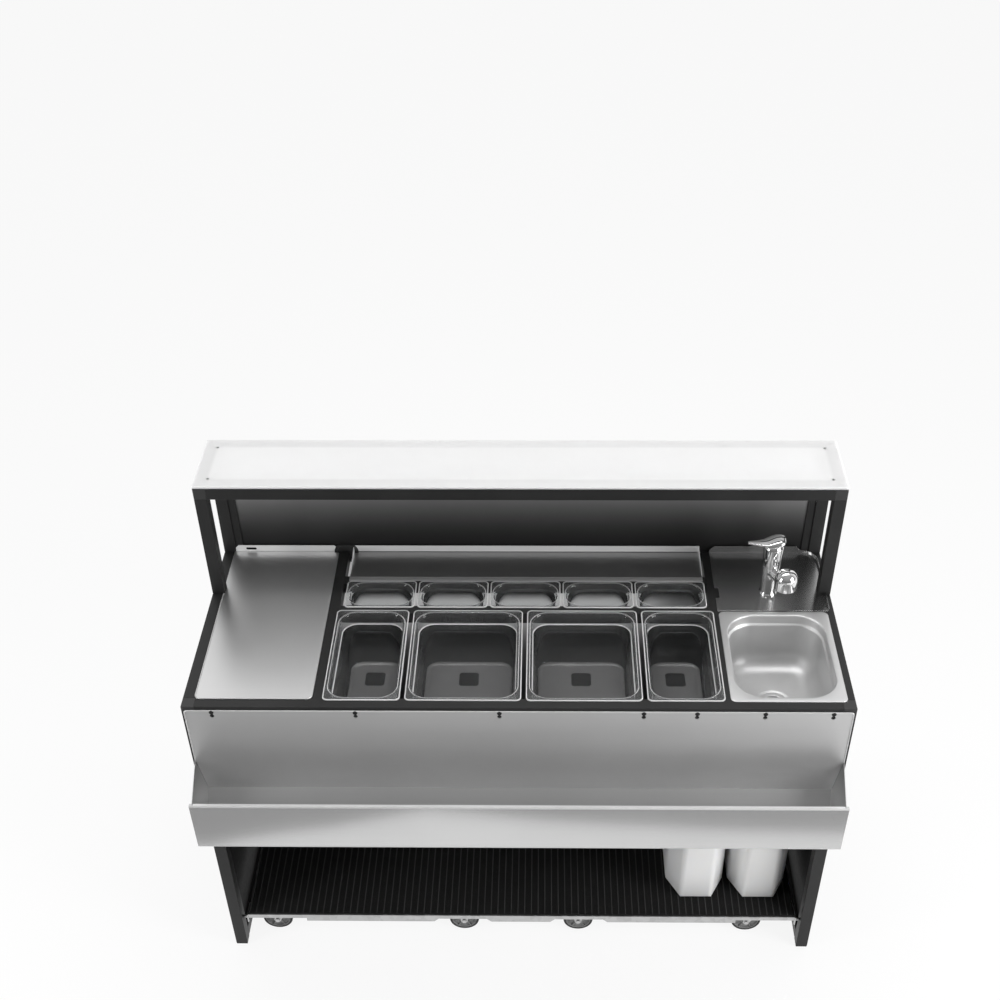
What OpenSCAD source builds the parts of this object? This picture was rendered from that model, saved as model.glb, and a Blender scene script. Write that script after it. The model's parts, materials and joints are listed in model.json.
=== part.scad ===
// Mobile bar unit: a knock-down tube frame with a raised counter, a row of gastronorm pans,
// a sink with a mixer tap, a bottle rail hung on keyholes and a castor trolley as bottom shelf.
// Millimetres. +X runs along the unit, -Y faces the person who works at it, +Z is up.
// The origin lies on the floor, under the middle of the whole unit.

/* [Frame] */
// Height of the worktop
work_h = 860; // [820:5:920]
// Side of the square tube
tube = 30; // [28:1:32]
// Wall of the square tube
tube_wall = 2; // [1.5:0.5:3]
// Thickness of the pad under each leg
foot_t = 4; // [3:1:8]

/* [Counter] */
// Height of the counter's top above the worktop
counter_rise = 312; // [280:2:380]
// Depth of the raised counter
counter_d = 203; // [190:1:206]
// Thickness of the white counter slab
slab_t = 6; // [4:1:10]
// Thickness of the panel behind the worktop
panel_t = 3; // [2:0.5:5]
// Width of the angle strips that hold the rear panel
strip_w = 19; // [14:1:26]

/* [Pans] */
// Length of a half or third pan, front to back
pan_l = 325; // [310:1:330]
// Width of a half pan
half_w = 265; // [255:1:268]
// Width of a third pan
third_w = 176; // [168:1:178]
// Depth of the front row of pans
pan_deep = 150; // [100:5:200]
// Width of a pan in the back row
ninth_w = 173; // [165:1:176]
// Length of a pan in the back row, front to back
ninth_l = 105; // [102:1:108]
// Depth of the back row of pans
ninth_deep = 65; // [50:1:100]
// Wall of a clear pan
pan_wall = 2.5; // [2:0.25:4]
// Gap between two pans of the front row
pan_gap = 10; // [6:1:12]
// Gap between two pans of the back row
ninth_gap = 5; // [3:1:7]

/* [Sheet metal] */
// Width of the cover over the left bay
cover_w = 268; // [228:2:368]
// Depth of the filler behind the pans
filler_d = 111; // [101:1:175]
// Thickness of the stainless sheet
sheet = 1.5; // [1:0.1:2]
// Height of the upstands at the back of the worktop
upstand_h = 20; // [12:1:30]

/* [Sink and tap] */
// Depth of the sink bowl
sink_deep = 150; // [120:5:180]
// Radius of the tap column at the deck
tap_foot_r = 18; // [17:0.5:21]
// Radius of the tap column at its top
tap_top_r = 24; // [23:0.5:27]
// Height of the tap column under the lever
tap_h = 136; // [130:1:160]
// Reach of the spout from the column's axis
spout_reach = 67; // [60:1:90]

/* [Bottle rail] */
// Reach of the trough in front of the frame
rail_reach = 114; // [100:1:130]
// Height of the trough's lower edge
rail_low_z = 520; // [500:5:560]
// Height of the trough's front wall
rail_front_h = 135; // [110:1:160]
// Height of the rise of the trough's floor from front to back
rail_floor_rise = 84; // [60:1:95]
// Radius of the round end of a keyhole
keyhole_r = 5; // [4.8:0.1:6]

/* [Trolley] */
// Height of the shelf's sheet
shelf_h = 114; // [112:1:122]
// Height of the shelf's front flange
flange_h = 24; // [20:1:26]
// Thickness of the rubber mat under its ribs
mat_t = 4; // [3:0.5:6]
// Radius of a castor wheel
wheel_r = 39; // [36:0.5:39.5]
// Width of a castor wheel
wheel_w = 24; // [20:1:28]
// Trail of a swivel castor
castor_trail = 26; // [20:1:30]

/* [Cans] */
// Width of a can
can_w = 152; // [130:1:154]
// Depth of a can, front to back
can_d = 240; // [200:5:260]
// Height of a can's body
can_h = 300; // [240:5:320]
// Wall of a can
can_wall = 2.5; // [2:0.5:4]

/* [Hidden] */

$fn = 64;
// Facets of the rounded corners inside a hull
hull_fn = 32;
// Overrun of every cut
over = 1;
// Thickness of the slices that a hull spans
hull_slice = 0.01;
// Gap between a loose piece and the face that it rests on
rest_gap = 0.3;
// Running gap round a pin
run_gap = 0.08;
// Gap between two faces that turn past each other
turn_gap = 0.4;

// Worktop: what lies side by side and front to back sets the size of the frame
pan_setback = 21.6;
row_gap = 11.4;
filler_gap = 14;
rear_seat = 2;
sink_setback = 16;
right_gap = 11;
left_gap = 22;
cover_side_setback = 26;
front_row = [third_w, half_w, half_w, third_w];
front_row_w = third_w + half_w + half_w + third_w + 3 * pan_gap;
ninth_count = 5;
ninth_pitch = ninth_w + ninth_gap;
ninth_row_w = ninth_count * ninth_pitch - ninth_gap;
pans_w = max(front_row_w, ninth_row_w);

// Frame
frame_w = cover_side_setback + cover_w + left_gap + pans_w + right_gap + half_w + sink_setback;
frame_d = pan_setback + pan_l + row_gap + ninth_l + filler_gap + filler_d - rear_seat + tube;
counter_h = work_h + counter_rise;
front_y = (rail_reach - frame_d) / 2;
rear_y = front_y + frame_d;
side_x = frame_w / 2;
in_x = side_x - tube;
beam_z = work_h - tube;
rear_beam_y = rear_y - tube;
bay_d = frame_d - 2 * tube;
counter_y = rear_y - counter_d;
slab_z = counter_h - slab_t;
counter_beam_z = slab_z - tube;
foot_inset = 0.5;
side_panel_t = 4;
lower_panel_gap = 36;
lower_panel_setback = 1.5;
lower_panel_y = rear_y - lower_panel_setback - sheet;
panel_setback = 6;
panel_y = rear_beam_y + panel_setback;
strip_t = 3;

// Screws
slab_screw_r = 4;
slab_screw_gap = 0.2;
slab_screw_inset = 32;
slab_screw_edge = 34;
slab_screw_ys = [counter_y + slab_screw_edge, rear_y - slab_screw_edge];
strip_screw_r = 3.5;
strip_screw_h = 2;
strip_screw_drop = 28;

// Pans: rims rest on the beams, and the necks hang between them
rim_t = 3;
rim_r = 12;
neck_in = 13;
neck_r = 42;
ninth_neck_in = 11;
ninth_neck_r = 30;
shoulder_h = 25;
shoulder_in = 3;
draft_in = 10;
ninth_shoulder_h = 14;
ninth_draft_in = 5;
pan_z = work_h + rest_gap;

// Worktop layout, right to left and front to back
sink_x1 = side_x - sink_setback;
sink_x0 = sink_x1 - half_w;
right_bar_x = sink_x0 - right_gap / 2;
row_x1 = sink_x0 - right_gap;
row_x0 = row_x1 - pans_w;
row_mid_x = (row_x0 + row_x1) / 2;
left_bar_x = row_x0 - left_gap / 2;
row_y0 = front_y + pan_setback;
row_y1 = row_y0 + pan_l;
mid_bar_y = row_y1 + row_gap / 2;
ninth_y0 = row_y1 + row_gap;
ninth_y1 = ninth_y0 + ninth_l;
back_bar_y = ninth_y1 + filler_gap / 2;

// Cover, filler and sink deck
cover_y1 = rear_beam_y + rear_seat;
cover_setback = 25;
cover_x0 = -side_x + cover_side_setback;
cover_x1 = left_bar_x - left_gap / 2;
cover_y0 = front_y + cover_setback;
cover_lip = 12;
cover_corner_r = 14;
cover_lip_gap = 2;
cover_hole_r = 3.5;
cover_hole_l = 20;
cover_hole_inset = 34;
upstand_cut = 12;
filler_cut = 1;
filler_narrow = 32;
filler_w = pans_w - filler_narrow;
filler_y0 = ninth_y1 + filler_gap;
filler_lip_h = 3;
grommet_r = 29;
grommet_t = panel_y - rear_beam_y;
grommet_gap = 2;
grommet_x = (cover_x1 + row_mid_x - filler_w / 2) / 2;
deck_gap = 1.4;
deck_y0 = row_y1 + deck_gap;
deck_x0 = sink_x0 - deck_gap;
deck_side_setback = 12;
deck_x1 = side_x - deck_side_setback;
deck_rim_h = 9;
deck_corner_r = 40;
notch_y = 52;
notch_l = 38;
notch_w = right_gap;
upright_gap = 0.5;

// Sink
sink_rim_r = 14;
sink_gap = 1;
sink_neck_in = tube - sink_setback + sink_gap;
sink_neck_r = 62;
sink_steps_shares = [0, 0.17, 0.6, 0.88, 1];
sink_insets_shares = [0, 0.02, 0.045, 0.065, 0.12];
sink_floor_r = 36;
drain_hole_r = 26;
drain_flange_r = 34;
drain_flange_t = 2;
drain_gap = 0.5;
drain_nut_r = 33;
drain_nut_h = 12;
tail_r = 20;
tail_wall = 2;
tail_l = 96;
sink_mid_x = (sink_x0 + sink_x1) / 2;
sink_mid_y = (row_y0 + row_y1) / 2;

// Tap
tap_offset = 3.5;
tap_x = sink_mid_x - tap_offset;
tap_setback = 77;
tap_y = deck_y0 + tap_setback;
tap_z = work_h + sheet;
tap_flange_step = 4;
tap_flange_r = tap_foot_r + tap_flange_step;
tap_flange_h = 4;
tap_post_r = 12;
shank_r = 10.5;
shank_l = 62;
shank_gap = 0.5;
inlet_r = 7.5;
inlet_l = 30;
locknut_r = 20;
locknut_h = 8;
collar_share = 0.36;
collar_h = 34;
spout_turn = 25;
spout_r = 15;
spout_rise = 3;
bulb_r = 27;
bulb_h = 51;
bulb_drop = 7;
outlet_r = 11;
outlet_deep = 12;
collar_z = tap_z + tap_h * collar_share;
cap_z = collar_z + collar_h + turn_gap;
cap_top_z = tap_z + tap_h;
post_end = 7;
dome_drop = 10;
dome_r = norm([tap_top_r, dome_drop]);
lever_pivot_z = cap_top_z - dome_drop;
lever_back = 26;
lever_reach = 63;
lever_t = 7;
lever_rise = 20;
lever_w = 30;
lever_tip_w = 12;
lever_tip_z = 6;
lever_root_x = 9;
lever_root_z = 7;
lever_mid = lever_back - lever_w / 2;

// Bottle rail
rail_gap = 0.5;
rail_side_gap = 5;
rail_w = frame_w - 2 * rail_side_gap;
rail_face_y = front_y - rail_gap - sheet;
rail_top_drop = 9;
rail_top_z = work_h - rail_top_drop;
rail_corner_r = 7;
rail_front_y = front_y - rail_reach;
rail_floor_z = rail_low_z + rail_floor_rise;
rail_lip_z = rail_low_z + rail_front_h;
hem_w = 8;
end_top_rise = 37;
end_top_z = rail_lip_z + end_top_rise;
end_tilt = 10;
keyhole_drop = 17;
keyhole_travel = 12;
keyhole_z = rail_top_z - keyhole_drop;
slot_r = 2.8;
stud_gap = 0.3;
stud_neck_r = slot_r - stud_gap;
stud_head_r = keyhole_r - stud_gap;
stud_head_t = 2.5;
wide_pitch = 325;
wide_count = 4;
wide_inset = 63;
narrow_pitch = 153;
narrow_count = 3;
narrow_inset = 46;
keyhole_xs = concat(
    [for (i = [0 : wide_count - 1]) -rail_w / 2 + wide_inset + i * wide_pitch],
    [for (i = [0 : narrow_count - 1]) rail_w / 2 - narrow_inset - i * narrow_pitch]
);

// Trolley
shelf_side_gap = 15;
shelf_x = in_x - shelf_side_gap;
shelf_setback = 7;
shelf_y0 = front_y + shelf_setback;
shelf_rear_gap = 3;
shelf_y1 = rear_beam_y - shelf_rear_gap;
shelf_under_z = shelf_h - sheet;
flange_end = 153;
flange_notch_w = 126;
flange_notch_run = 12;
flange_short_h = 13;
mat_edge = 3;
rib_h = 1.2;
rib_w = 3;
rib_pitch = 17.5;
mat_top_z = shelf_h + mat_t + rib_h;
hook_t = 3;
hook_out = 10;
hook_in = 34;
hook_drop = 28;
pin_r = 4;
pin_gap = 0.2;
pin_drop = 16;
pin_z = shelf_h - pin_drop;
pin_end = 1;
// Middle of a front leg and of a rear leg, each with the end where its hook plate starts
hook_places = [
    [front_y + tube / 2, -hook_out],
    [rear_y - tube / 2, -hook_in]
];

// Castors
wheel_clear = 1;
wheel_z = wheel_clear + wheel_r;
tyre_t = 8;
tyre_round = 5;
hub_gap = 0.05;
hub_web_share = 0.45;
hub_boss_r = 9;
axle_r = 4;
axle_nut_r = 6.5;
axle_nut_h = 4;
fork_t = 2.5;
fork_gap = 1.5;
fork_boss_r = 9;
crown_r = 23;
crown_t = 3;
plate_w = 58;
plate_t = 3;
race_r = 20;
race_h = 4;
kingpin_r = 5;
kingpin_head_r = 8;
kingpin_head_h = 3;
castor_front_setback = 66;
castor_rear_setback = 63;
swivel_inset = 89;
swivel_x = shelf_x - swivel_inset;
fixed_x = 152;
castor_front_y = front_y + castor_front_setback;
castor_rear_y = rear_beam_y - castor_rear_setback;
plate_z = shelf_under_z - plate_t;
crown_z = plate_z - race_h - turn_gap - crown_t;
fork_out_y = wheel_w / 2 + fork_gap + fork_t;

// Cans
can_chamfer_x = 35;
can_chamfer_y = 66;
can_setback = 68;
can_gap = 12;
can_side_gap = 15;
can_y0 = front_y + can_setback;
can_z = mat_top_z + rest_gap;
can_right_x = shelf_x - can_side_gap - can_w / 2;
can_left_x = can_right_x - can_w - can_gap;
can_neck_r = 25;
can_neck_h = 20;
can_neck_wall = 4;
can_neck_back = 58;
cap_wall = 3;
cap_skirt_gap = 0.5;

// A shape and its mirror image across the middle of the unit
module both_sides() {
    children();
    mirror([1, 0, 0]) children();
}

// Square tube along one axis (0 = X, 1 = Y, 2 = Z) from the origin, open at both ends
module tube_run(axis, length) {
    difference() {
        cube([for (i = [0 : 2]) i == axis ? length : tube]);
        translate([for (i = [0 : 2]) i == axis ? -over : tube_wall])
            cube([for (i = [0 : 2]) i == axis ? length + 2 * over : tube - 2 * tube_wall]);
    }
}

// Flat rectangle with round corners, its near left corner at the origin
module round_rect(w, l, r) {
    translate([r, 0]) square([w - 2 * r, l]);
    translate([0, r]) square([w, l - 2 * r]);
    for (x = [r, w - r], y = [r, l - r]) translate([x, y]) circle(r);
}

// Thin slice of a tapered tub, let in by inset on every side
module tub_slice(w, l, r, inset, z) {
    translate([inset, inset, z]) linear_extrude(hull_slice)
        round_rect(w - 2 * inset, l - 2 * inset, r, $fn = hull_fn);
}

// Vertical sheet facing the worker: a flat outline in X and Z, stood up with its back on the XZ plane
module upright_sheet(t) {
    rotate([90, 0, 0]) linear_extrude(t) children();
}

// Flat outline in Y and Z, thickened towards +X
module side_sheet(t) {
    rotate([90, 0, 90]) linear_extrude(t) children();
}

// Frame

module leg_pair(y) {
    both_sides() translate([in_x, y, foot_t]) tube_run(2, beam_z - foot_t);
}

module front_legs() {
    color("#242424") leg_pair(front_y);
}

module rear_legs() {
    color("#242424") leg_pair(rear_beam_y);
}

module worktop_beams() {
    color("#242424") {
        for (y = [front_y, rear_beam_y]) translate([-in_x, y, beam_z]) tube_run(0, 2 * in_x);
        both_sides() translate([in_x, front_y + tube, beam_z]) tube_run(1, bay_d);
    }
}

// Two bars along the depth that part the cover, the pans and the sink
module bay_dividers() {
    color("#202020") for (x = [left_bar_x, right_bar_x])
        translate([x - tube / 2, front_y + tube, beam_z]) tube_run(1, bay_d);
}

// Crossbars that carry the back of the pans and of the sink
module pan_crossbars() {
    left_x = left_bar_x + tube / 2;
    right_x = right_bar_x + tube / 2;
    color("#202020") {
        for (y = [mid_bar_y, back_bar_y])
            translate([left_x, y - tube / 2, beam_z]) tube_run(0, right_x - tube - left_x);
        translate([right_x, mid_bar_y - tube / 2, beam_z]) tube_run(0, in_x - right_x);
    }
}

module corner_connectors() {
    color("#333333") both_sides() {
        for (y = [front_y, rear_beam_y]) translate([in_x, y, beam_z]) cube(tube);
        for (y = [counter_y, rear_beam_y]) translate([in_x, y, counter_beam_z]) cube(tube);
    }
}

module floor_rails() {
    color("#242424") both_sides() translate([in_x, front_y + tube, foot_t]) tube_run(1, bay_d);
}

module foot_pads() {
    pad = tube - 2 * foot_inset;
    color("#101010") both_sides() for (y = [front_y, rear_beam_y])
        translate([in_x + foot_inset, y + foot_inset, 0]) cube([pad, pad, foot_t]);
}

module counter_uprights() {
    color("#242424") both_sides() for (y = [counter_y, rear_beam_y])
        translate([in_x, y, work_h]) tube_run(2, counter_beam_z - work_h);
}

module counter_beams() {
    color("#242424") {
        for (y = [counter_y, rear_beam_y]) translate([-in_x, y, counter_beam_z]) tube_run(0, 2 * in_x);
        both_sides() translate([in_x, counter_y + tube, counter_beam_z]) tube_run(1, counter_d - 2 * tube);
    }
}

module counter_slab() {
    color("#f4f4f2") difference() {
        translate([-side_x, counter_y, slab_z]) cube([frame_w, counter_d, slab_t]);
        both_sides() for (y = slab_screw_ys) translate([side_x - slab_screw_inset, y, slab_z - over])
            cylinder(r = slab_screw_r + slab_screw_gap, h = slab_t + 2 * over);
    }
}

// Screws of the counter slab, sunk flush, and of the panel strips
module panel_screws() {
    color("#b8b8b8") both_sides() {
        for (y = slab_screw_ys) translate([side_x - slab_screw_inset, y, slab_z])
            cylinder(r = slab_screw_r, h = slab_t);
        translate([in_x - strip_w / 2, panel_y - strip_t, counter_beam_z - strip_screw_drop])
            rotate([90, 0, 0]) cylinder(r = strip_screw_r, h = strip_screw_h);
    }
}

module rear_panel_upper() {
    color("#4a4b4c") translate([-in_x, panel_y, work_h]) cube([2 * in_x, panel_t, counter_beam_z - work_h]);
}

module rear_panel_lower() {
    low_z = foot_t + lower_panel_gap;
    color("#a8a8a6") translate([-in_x, lower_panel_y, low_z]) cube([2 * in_x, sheet, beam_z - low_z]);
}

module panel_strips() {
    color("#3c3c3c") both_sides() translate([in_x - strip_w, panel_y - strip_t, work_h])
        cube([strip_w, strip_t, counter_beam_z - work_h]);
}

module side_panels() {
    color("#2c2c2c") both_sides()
        translate([side_x - (tube + side_panel_t) / 2, front_y + tube, foot_t + tube])
            cube([side_panel_t, bay_d, beam_z - foot_t - tube]);
}

// Worktop

// Upstand between two ends, its top corners cut off by cut; children are cut out of it
module upstand(x0, x1, cut) {
    outline = [
        [x0, 0], [x1, 0], [x1, upstand_h - cut], [x1 - cut, upstand_h],
        [x0 + cut, upstand_h], [x0, upstand_h - cut]
    ];
    translate([0, cover_y1, work_h + rest_gap]) difference() {
        upright_sheet(sheet) polygon(outline);
        children();
        translate([grommet_x, over, -rest_gap]) rotate([90, 0, 0])
            cylinder(r = grommet_r + grommet_gap, h = sheet + 2 * over);
    }
}

// Room for the counter's uprights in the sheets that pass them
module upright_cuts() {
    side = tube + 2 * upright_gap;
    both_sides() for (y = [counter_y, rear_beam_y])
        translate([in_x - upright_gap, y - upright_gap, work_h - over])
            cube([side, side, upstand_h + 2 * over]);
}

// Stainless cover of the left bay, with a hook hole in its upstand
module work_cover() {
    deck_w = cover_x1 - cover_x0;
    deck_l = cover_y1 - cover_y0;
    lip_l = bay_d - 2 * cover_lip_gap;
    lip_x0 = -in_x + cover_lip_gap;
    lip_x1 = left_bar_x - tube / 2 - cover_lip_gap;
    hole_z = upstand_h / 2;
    color("#c4c4c2") difference() {
        union() {
            translate([cover_x0, cover_y0, pan_z]) linear_extrude(sheet) {
                round_rect(deck_w, deck_l, cover_corner_r);
                translate([0, deck_l / 2]) square([deck_w, deck_l / 2]);
            }
            upstand(cover_x0, cover_x1, upstand_cut)
                translate([cover_x0 + cover_hole_inset, over, hole_z]) rotate([90, 0, 0]) {
                    for (x = [0, cover_hole_l]) translate([x, 0, 0])
                        cylinder(r = cover_hole_r, h = sheet + 2 * over);
                    translate([0, -cover_hole_r, 0])
                        cube([cover_hole_l, 2 * cover_hole_r, sheet + 2 * over]);
                }
            for (x = [lip_x0, lip_x1 - sheet])
                translate([x, front_y + tube + cover_lip_gap, pan_z - cover_lip])
                    cube([sheet, lip_l, cover_lip + sheet]);
        }
        translate([grommet_x, cover_y1 + over, work_h]) rotate([90, 0, 0])
            cylinder(r = grommet_r + grommet_gap, h = grommet_t + over);
        upright_cuts();
    }
}

// Filler between the back row of pans and the rear panel, with tapering side flanges
module rear_filler() {
    x0 = row_mid_x - filler_w / 2;
    x1 = row_mid_x + filler_w / 2;
    deck_l = cover_y1 - filler_y0;
    flange = [[filler_y0, 0], [cover_y1, 0], [cover_y1, upstand_h - filler_cut], [filler_y0, sheet]];
    color("#c0c0be") {
        translate([0, 0, -rest_gap]) {
            difference() {
                translate([x0, filler_y0, pan_z]) cube([filler_w, deck_l, sheet]);
                translate([grommet_x, cover_y1 + over, pan_z]) rotate([90, 0, 0])
                    cylinder(r = grommet_r + grommet_gap, h = grommet_t + over);
            }
            upstand(x0, x1, filler_cut);
            translate([x0, filler_y0, pan_z]) cube([filler_w, sheet, filler_lip_h]);
            difference() {
                for (x = [x0, x1 - sheet]) translate([x, 0, pan_z]) side_sheet(sheet) polygon(flange);
                translate([grommet_x, cover_y1 + over, pan_z]) rotate([90, 0, 0])
                    cylinder(r = grommet_r + grommet_gap, h = grommet_t + over);
            }
        }
    }
}

// Half-round cable grommet that stands on the rear beam against the panel
module cable_grommet() {
    color("#151515") translate([grommet_x, panel_y, work_h]) rotate([90, 0, 0]) difference() {
        cylinder(r = grommet_r, h = grommet_t);
        translate([-grommet_r - over, -grommet_r - over, -over])
            cube([2 * (grommet_r + over), grommet_r + over, grommet_t + 2 * over]);
    }
}

// Deck behind the sink, with an upstand, a rolled rim on its right and a notch over the divider
module sink_deck() {
    l = cover_y1 - deck_y0;
    w = deck_x1 - deck_x0;
    r = deck_corner_r;
    color("#8c8c8c") difference() {
        union() {
            translate([deck_x0, deck_y0, work_h]) {
                difference() {
                    linear_extrude(sheet) {
                        square([w, l - r]);
                        square([w - r, l]);
                        translate([w - r, l - r]) circle(r);
                    }
                    translate([-over, notch_y, -over]) cube([notch_w + over, notch_l, sheet + 2 * over]);
                    translate([tap_x - deck_x0, tap_y - deck_y0, -over])
                        cylinder(r = shank_r + shank_gap, h = sheet + 2 * over);
                }
                translate([w - sheet, 0, 0]) cube([sheet, l - r, deck_rim_h]);
                translate([w - r, l - r, 0]) rotate_extrude(angle = 90)
                    translate([r - sheet, 0]) square([sheet, deck_rim_h]);
            }
            translate([0, 0, -rest_gap]) upstand(deck_x0, deck_x1 - r, upstand_cut);
        }
        upright_cuts();
    }
}

// Bowl as a stack of slices that close in towards the floor
module sink_tub(wall) {
    w = half_w - 2 * sink_neck_in;
    l = pan_l - 2 * sink_neck_in;
    steps = len(sink_steps_shares) - 1;
    hull() for (i = [0 : steps]) {
        inset = wall + w * sink_insets_shares[i];
        r = max(sink_floor_r, sink_neck_r - inset);
        tub_slice(w, l, r, inset, -(sink_deep - wall) * sink_steps_shares[i]);
    }
}

module sink_bowl() {
    mouth_in = sink_neck_in + sheet;
    color("#cfcfcd") translate([sink_x0, row_y0, work_h]) difference() {
        union() {
            linear_extrude(sheet) round_rect(half_w, pan_l, sink_rim_r);
            translate([sink_neck_in, sink_neck_in, 0]) sink_tub(0);
        }
        translate([sink_neck_in, sink_neck_in, 0]) sink_tub(sheet);
        translate([mouth_in, mouth_in, -hull_slice]) linear_extrude(sheet + over)
            round_rect(half_w - 2 * mouth_in, pan_l - 2 * mouth_in, sink_neck_r - sheet);
        translate([half_w / 2, pan_l / 2, -sink_deep - over]) cylinder(r = drain_hole_r, h = sink_deep);
    }
}

// Strainer ring in the bowl, clamp nut under it and tail pipe
module sink_drain() {
    floor_z = work_h - sink_deep + sheet;
    neck_r = drain_hole_r - drain_gap;
    color("#d8d8d8") translate([sink_mid_x, sink_mid_y, floor_z]) difference() {
        union() {
            cylinder(r = drain_flange_r, h = drain_flange_t);
            translate([0, 0, -sheet - drain_nut_h]) cylinder(r = neck_r, h = sheet + drain_nut_h);
            translate([0, 0, -sheet - drain_nut_h]) cylinder(r = drain_nut_r, h = drain_nut_h);
            translate([0, 0, -tail_l]) cylinder(r = tail_r, h = tail_l);
        }
        translate([0, 0, -tail_l - over])
            cylinder(r = tail_r - tail_wall, h = tail_l + drain_flange_t + 2 * over);
    }
}

// Tap: column, swivel spout, cap and lever share one upright axis

function column_r(z) = tap_foot_r + (tap_top_r - tap_foot_r) * (z - tap_z) / tap_h;

module column(z0, z1) {
    translate([tap_x, tap_y, z0]) cylinder(r1 = column_r(z0), r2 = column_r(z1), h = z1 - z0);
}

module tap_body() {
    color("#d9dadb") {
        translate([tap_x, tap_y, tap_z]) cylinder(r = tap_flange_r, h = tap_flange_h);
        column(tap_z, collar_z - turn_gap);
        translate([tap_x, tap_y, tap_z]) cylinder(r = tap_post_r, h = cap_z + post_end - tap_z);
        translate([tap_x, tap_y, tap_z - shank_l]) cylinder(r = shank_r, h = shank_l);
        translate([tap_x, tap_y, tap_z - shank_l - inlet_l]) cylinder(r = inlet_r, h = inlet_l);
    }
}

module tap_locknut() {
    color("#c2a468") translate([tap_x, tap_y, work_h - locknut_h]) difference() {
        cylinder(r = locknut_r, h = locknut_h, $fn = 6);
        translate([0, 0, -over]) cylinder(r = shank_r + run_gap, h = locknut_h + 2 * over);
    }
}

// Spout: a collar round the post, a short neck and a domed bulb with the outlet under it
module tap_spout() {
    neck_z = collar_z + collar_h / 2;
    color("#d9dadb") difference() {
        union() {
            column(collar_z, collar_z + collar_h);
            translate([tap_x, tap_y, neck_z]) rotate([0, 0, spout_turn]) {
                rotate([90 - spout_rise, 0, 0]) cylinder(r = spout_r, h = spout_reach);
                translate([0, -spout_reach, -bulb_drop]) {
                    cylinder(r = bulb_r, h = bulb_h - bulb_r);
                    translate([0, 0, bulb_h - bulb_r]) difference() {
                        sphere(r = bulb_r);
                        translate([-bulb_r - over, -bulb_r - over, -bulb_r - over])
                            cube([2 * (bulb_r + over), 2 * (bulb_r + over), bulb_r + over]);
                    }
                }
            }
        }
        translate([tap_x, tap_y, collar_z - over])
            cylinder(r = tap_post_r + run_gap, h = collar_h + 2 * over);
        translate([tap_x, tap_y, neck_z]) rotate([0, 0, spout_turn])
            translate([0, -spout_reach, -bulb_drop - over]) cylinder(r = outlet_r, h = outlet_deep + over);
    }
}

// Ball that the lever turns on, its centre below the cap's top
module lever_ball(gap) {
    translate([tap_x, tap_y, lever_pivot_z]) sphere(r = dome_r + gap);
}

// Cap over the post, with a dome on top that the lever rides on
module tap_cap() {
    side = 2 * (dome_r + over);
    color("#d9dadb") difference() {
        union() {
            column(cap_z, cap_top_z);
            difference() {
                lever_ball(0);
                translate([tap_x - side / 2, tap_y - side / 2, cap_top_z - side]) cube(side);
            }
        }
        translate([tap_x, tap_y, cap_z - over])
            cylinder(r = tap_post_r + run_gap, h = over + post_end + turn_gap);
    }
}

// One end of the lever's hood or blade
module lever_pad(x, z, w) {
    translate([x, 0, z]) cylinder(r = w / 2, h = lever_t, $fn = hull_fn);
}

// Lever: a hood over the cap's dome, and a blade from the hood to a tip on the left
module tap_lever() {
    color("#d9dadb") difference() {
        translate([tap_x, tap_y, cap_top_z]) {
            hull() {
                lever_pad(lever_mid, lever_rise, lever_w);
                lever_pad(0, turn_gap, 2 * tap_top_r);
            }
            hull() {
                lever_pad(-lever_root_x, lever_root_z, lever_w);
                lever_pad(lever_tip_w / 2 - lever_reach, lever_tip_z, lever_tip_w);
            }
        }
        lever_ball(turn_gap);
    }
}

// Pans

// Clear gastronorm pan with its near left rim corner at the origin: flat rim, straight neck, drafted tub
module gn_pan(w, l, deep, inset, corner, shoulder, draft) {
    neck_w = w - 2 * inset;
    neck_l = l - 2 * inset;
    step = inset + shoulder_in;
    tub_r = corner - shoulder_in;
    color("#9aa0a466") difference() {
        union() {
            linear_extrude(rim_t) round_rect(w, l, rim_r);
            translate([inset, inset, -shoulder]) linear_extrude(shoulder + hull_slice)
                round_rect(neck_w, neck_l, corner);
            hull() {
                tub_slice(w, l, tub_r, step, -shoulder);
                tub_slice(w, l, tub_r, step + draft, rim_t - deep);
            }
        }
        translate([inset + pan_wall, inset + pan_wall, pan_wall - shoulder]) linear_extrude(deep)
            round_rect(neck_w - 2 * pan_wall, neck_l - 2 * pan_wall, corner - pan_wall);
        hull() {
            tub_slice(w, l, tub_r - pan_wall, step + pan_wall, pan_wall - shoulder + hull_slice);
            tub_slice(w, l, tub_r - pan_wall, step + draft + pan_wall, rim_t - deep + pan_wall);
        }
    }
}

// Left edge of pan i of the front row
function front_pan_x(i) = i == 0
    ? row_mid_x - front_row_w / 2
    : front_pan_x(i - 1) + front_row[i - 1] + pan_gap;

module front_pan(i) {
    translate([front_pan_x(i), row_y0, pan_z])
        gn_pan(front_row[i], pan_l, pan_deep, neck_in, neck_r, shoulder_h, draft_in);
}

module ninth_pan(i) {
    translate([row_mid_x - ninth_row_w / 2 + i * ninth_pitch, ninth_y0, pan_z])
        gn_pan(ninth_w, ninth_l, ninth_deep, ninth_neck_in, ninth_neck_r, ninth_shoulder_h, ninth_draft_in);
}

module pan_third_left() front_pan(0);
module pan_half_left() front_pan(1);
module pan_half_right() front_pan(2);
module pan_third_right() front_pan(3);
module pan_ninth_1() ninth_pan(0);
module pan_ninth_2() ninth_pan(1);
module pan_ninth_3() ninth_pan(2);
module pan_ninth_4() ninth_pan(3);
module pan_ninth_5() ninth_pan(4);

// Bottle rail

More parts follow.
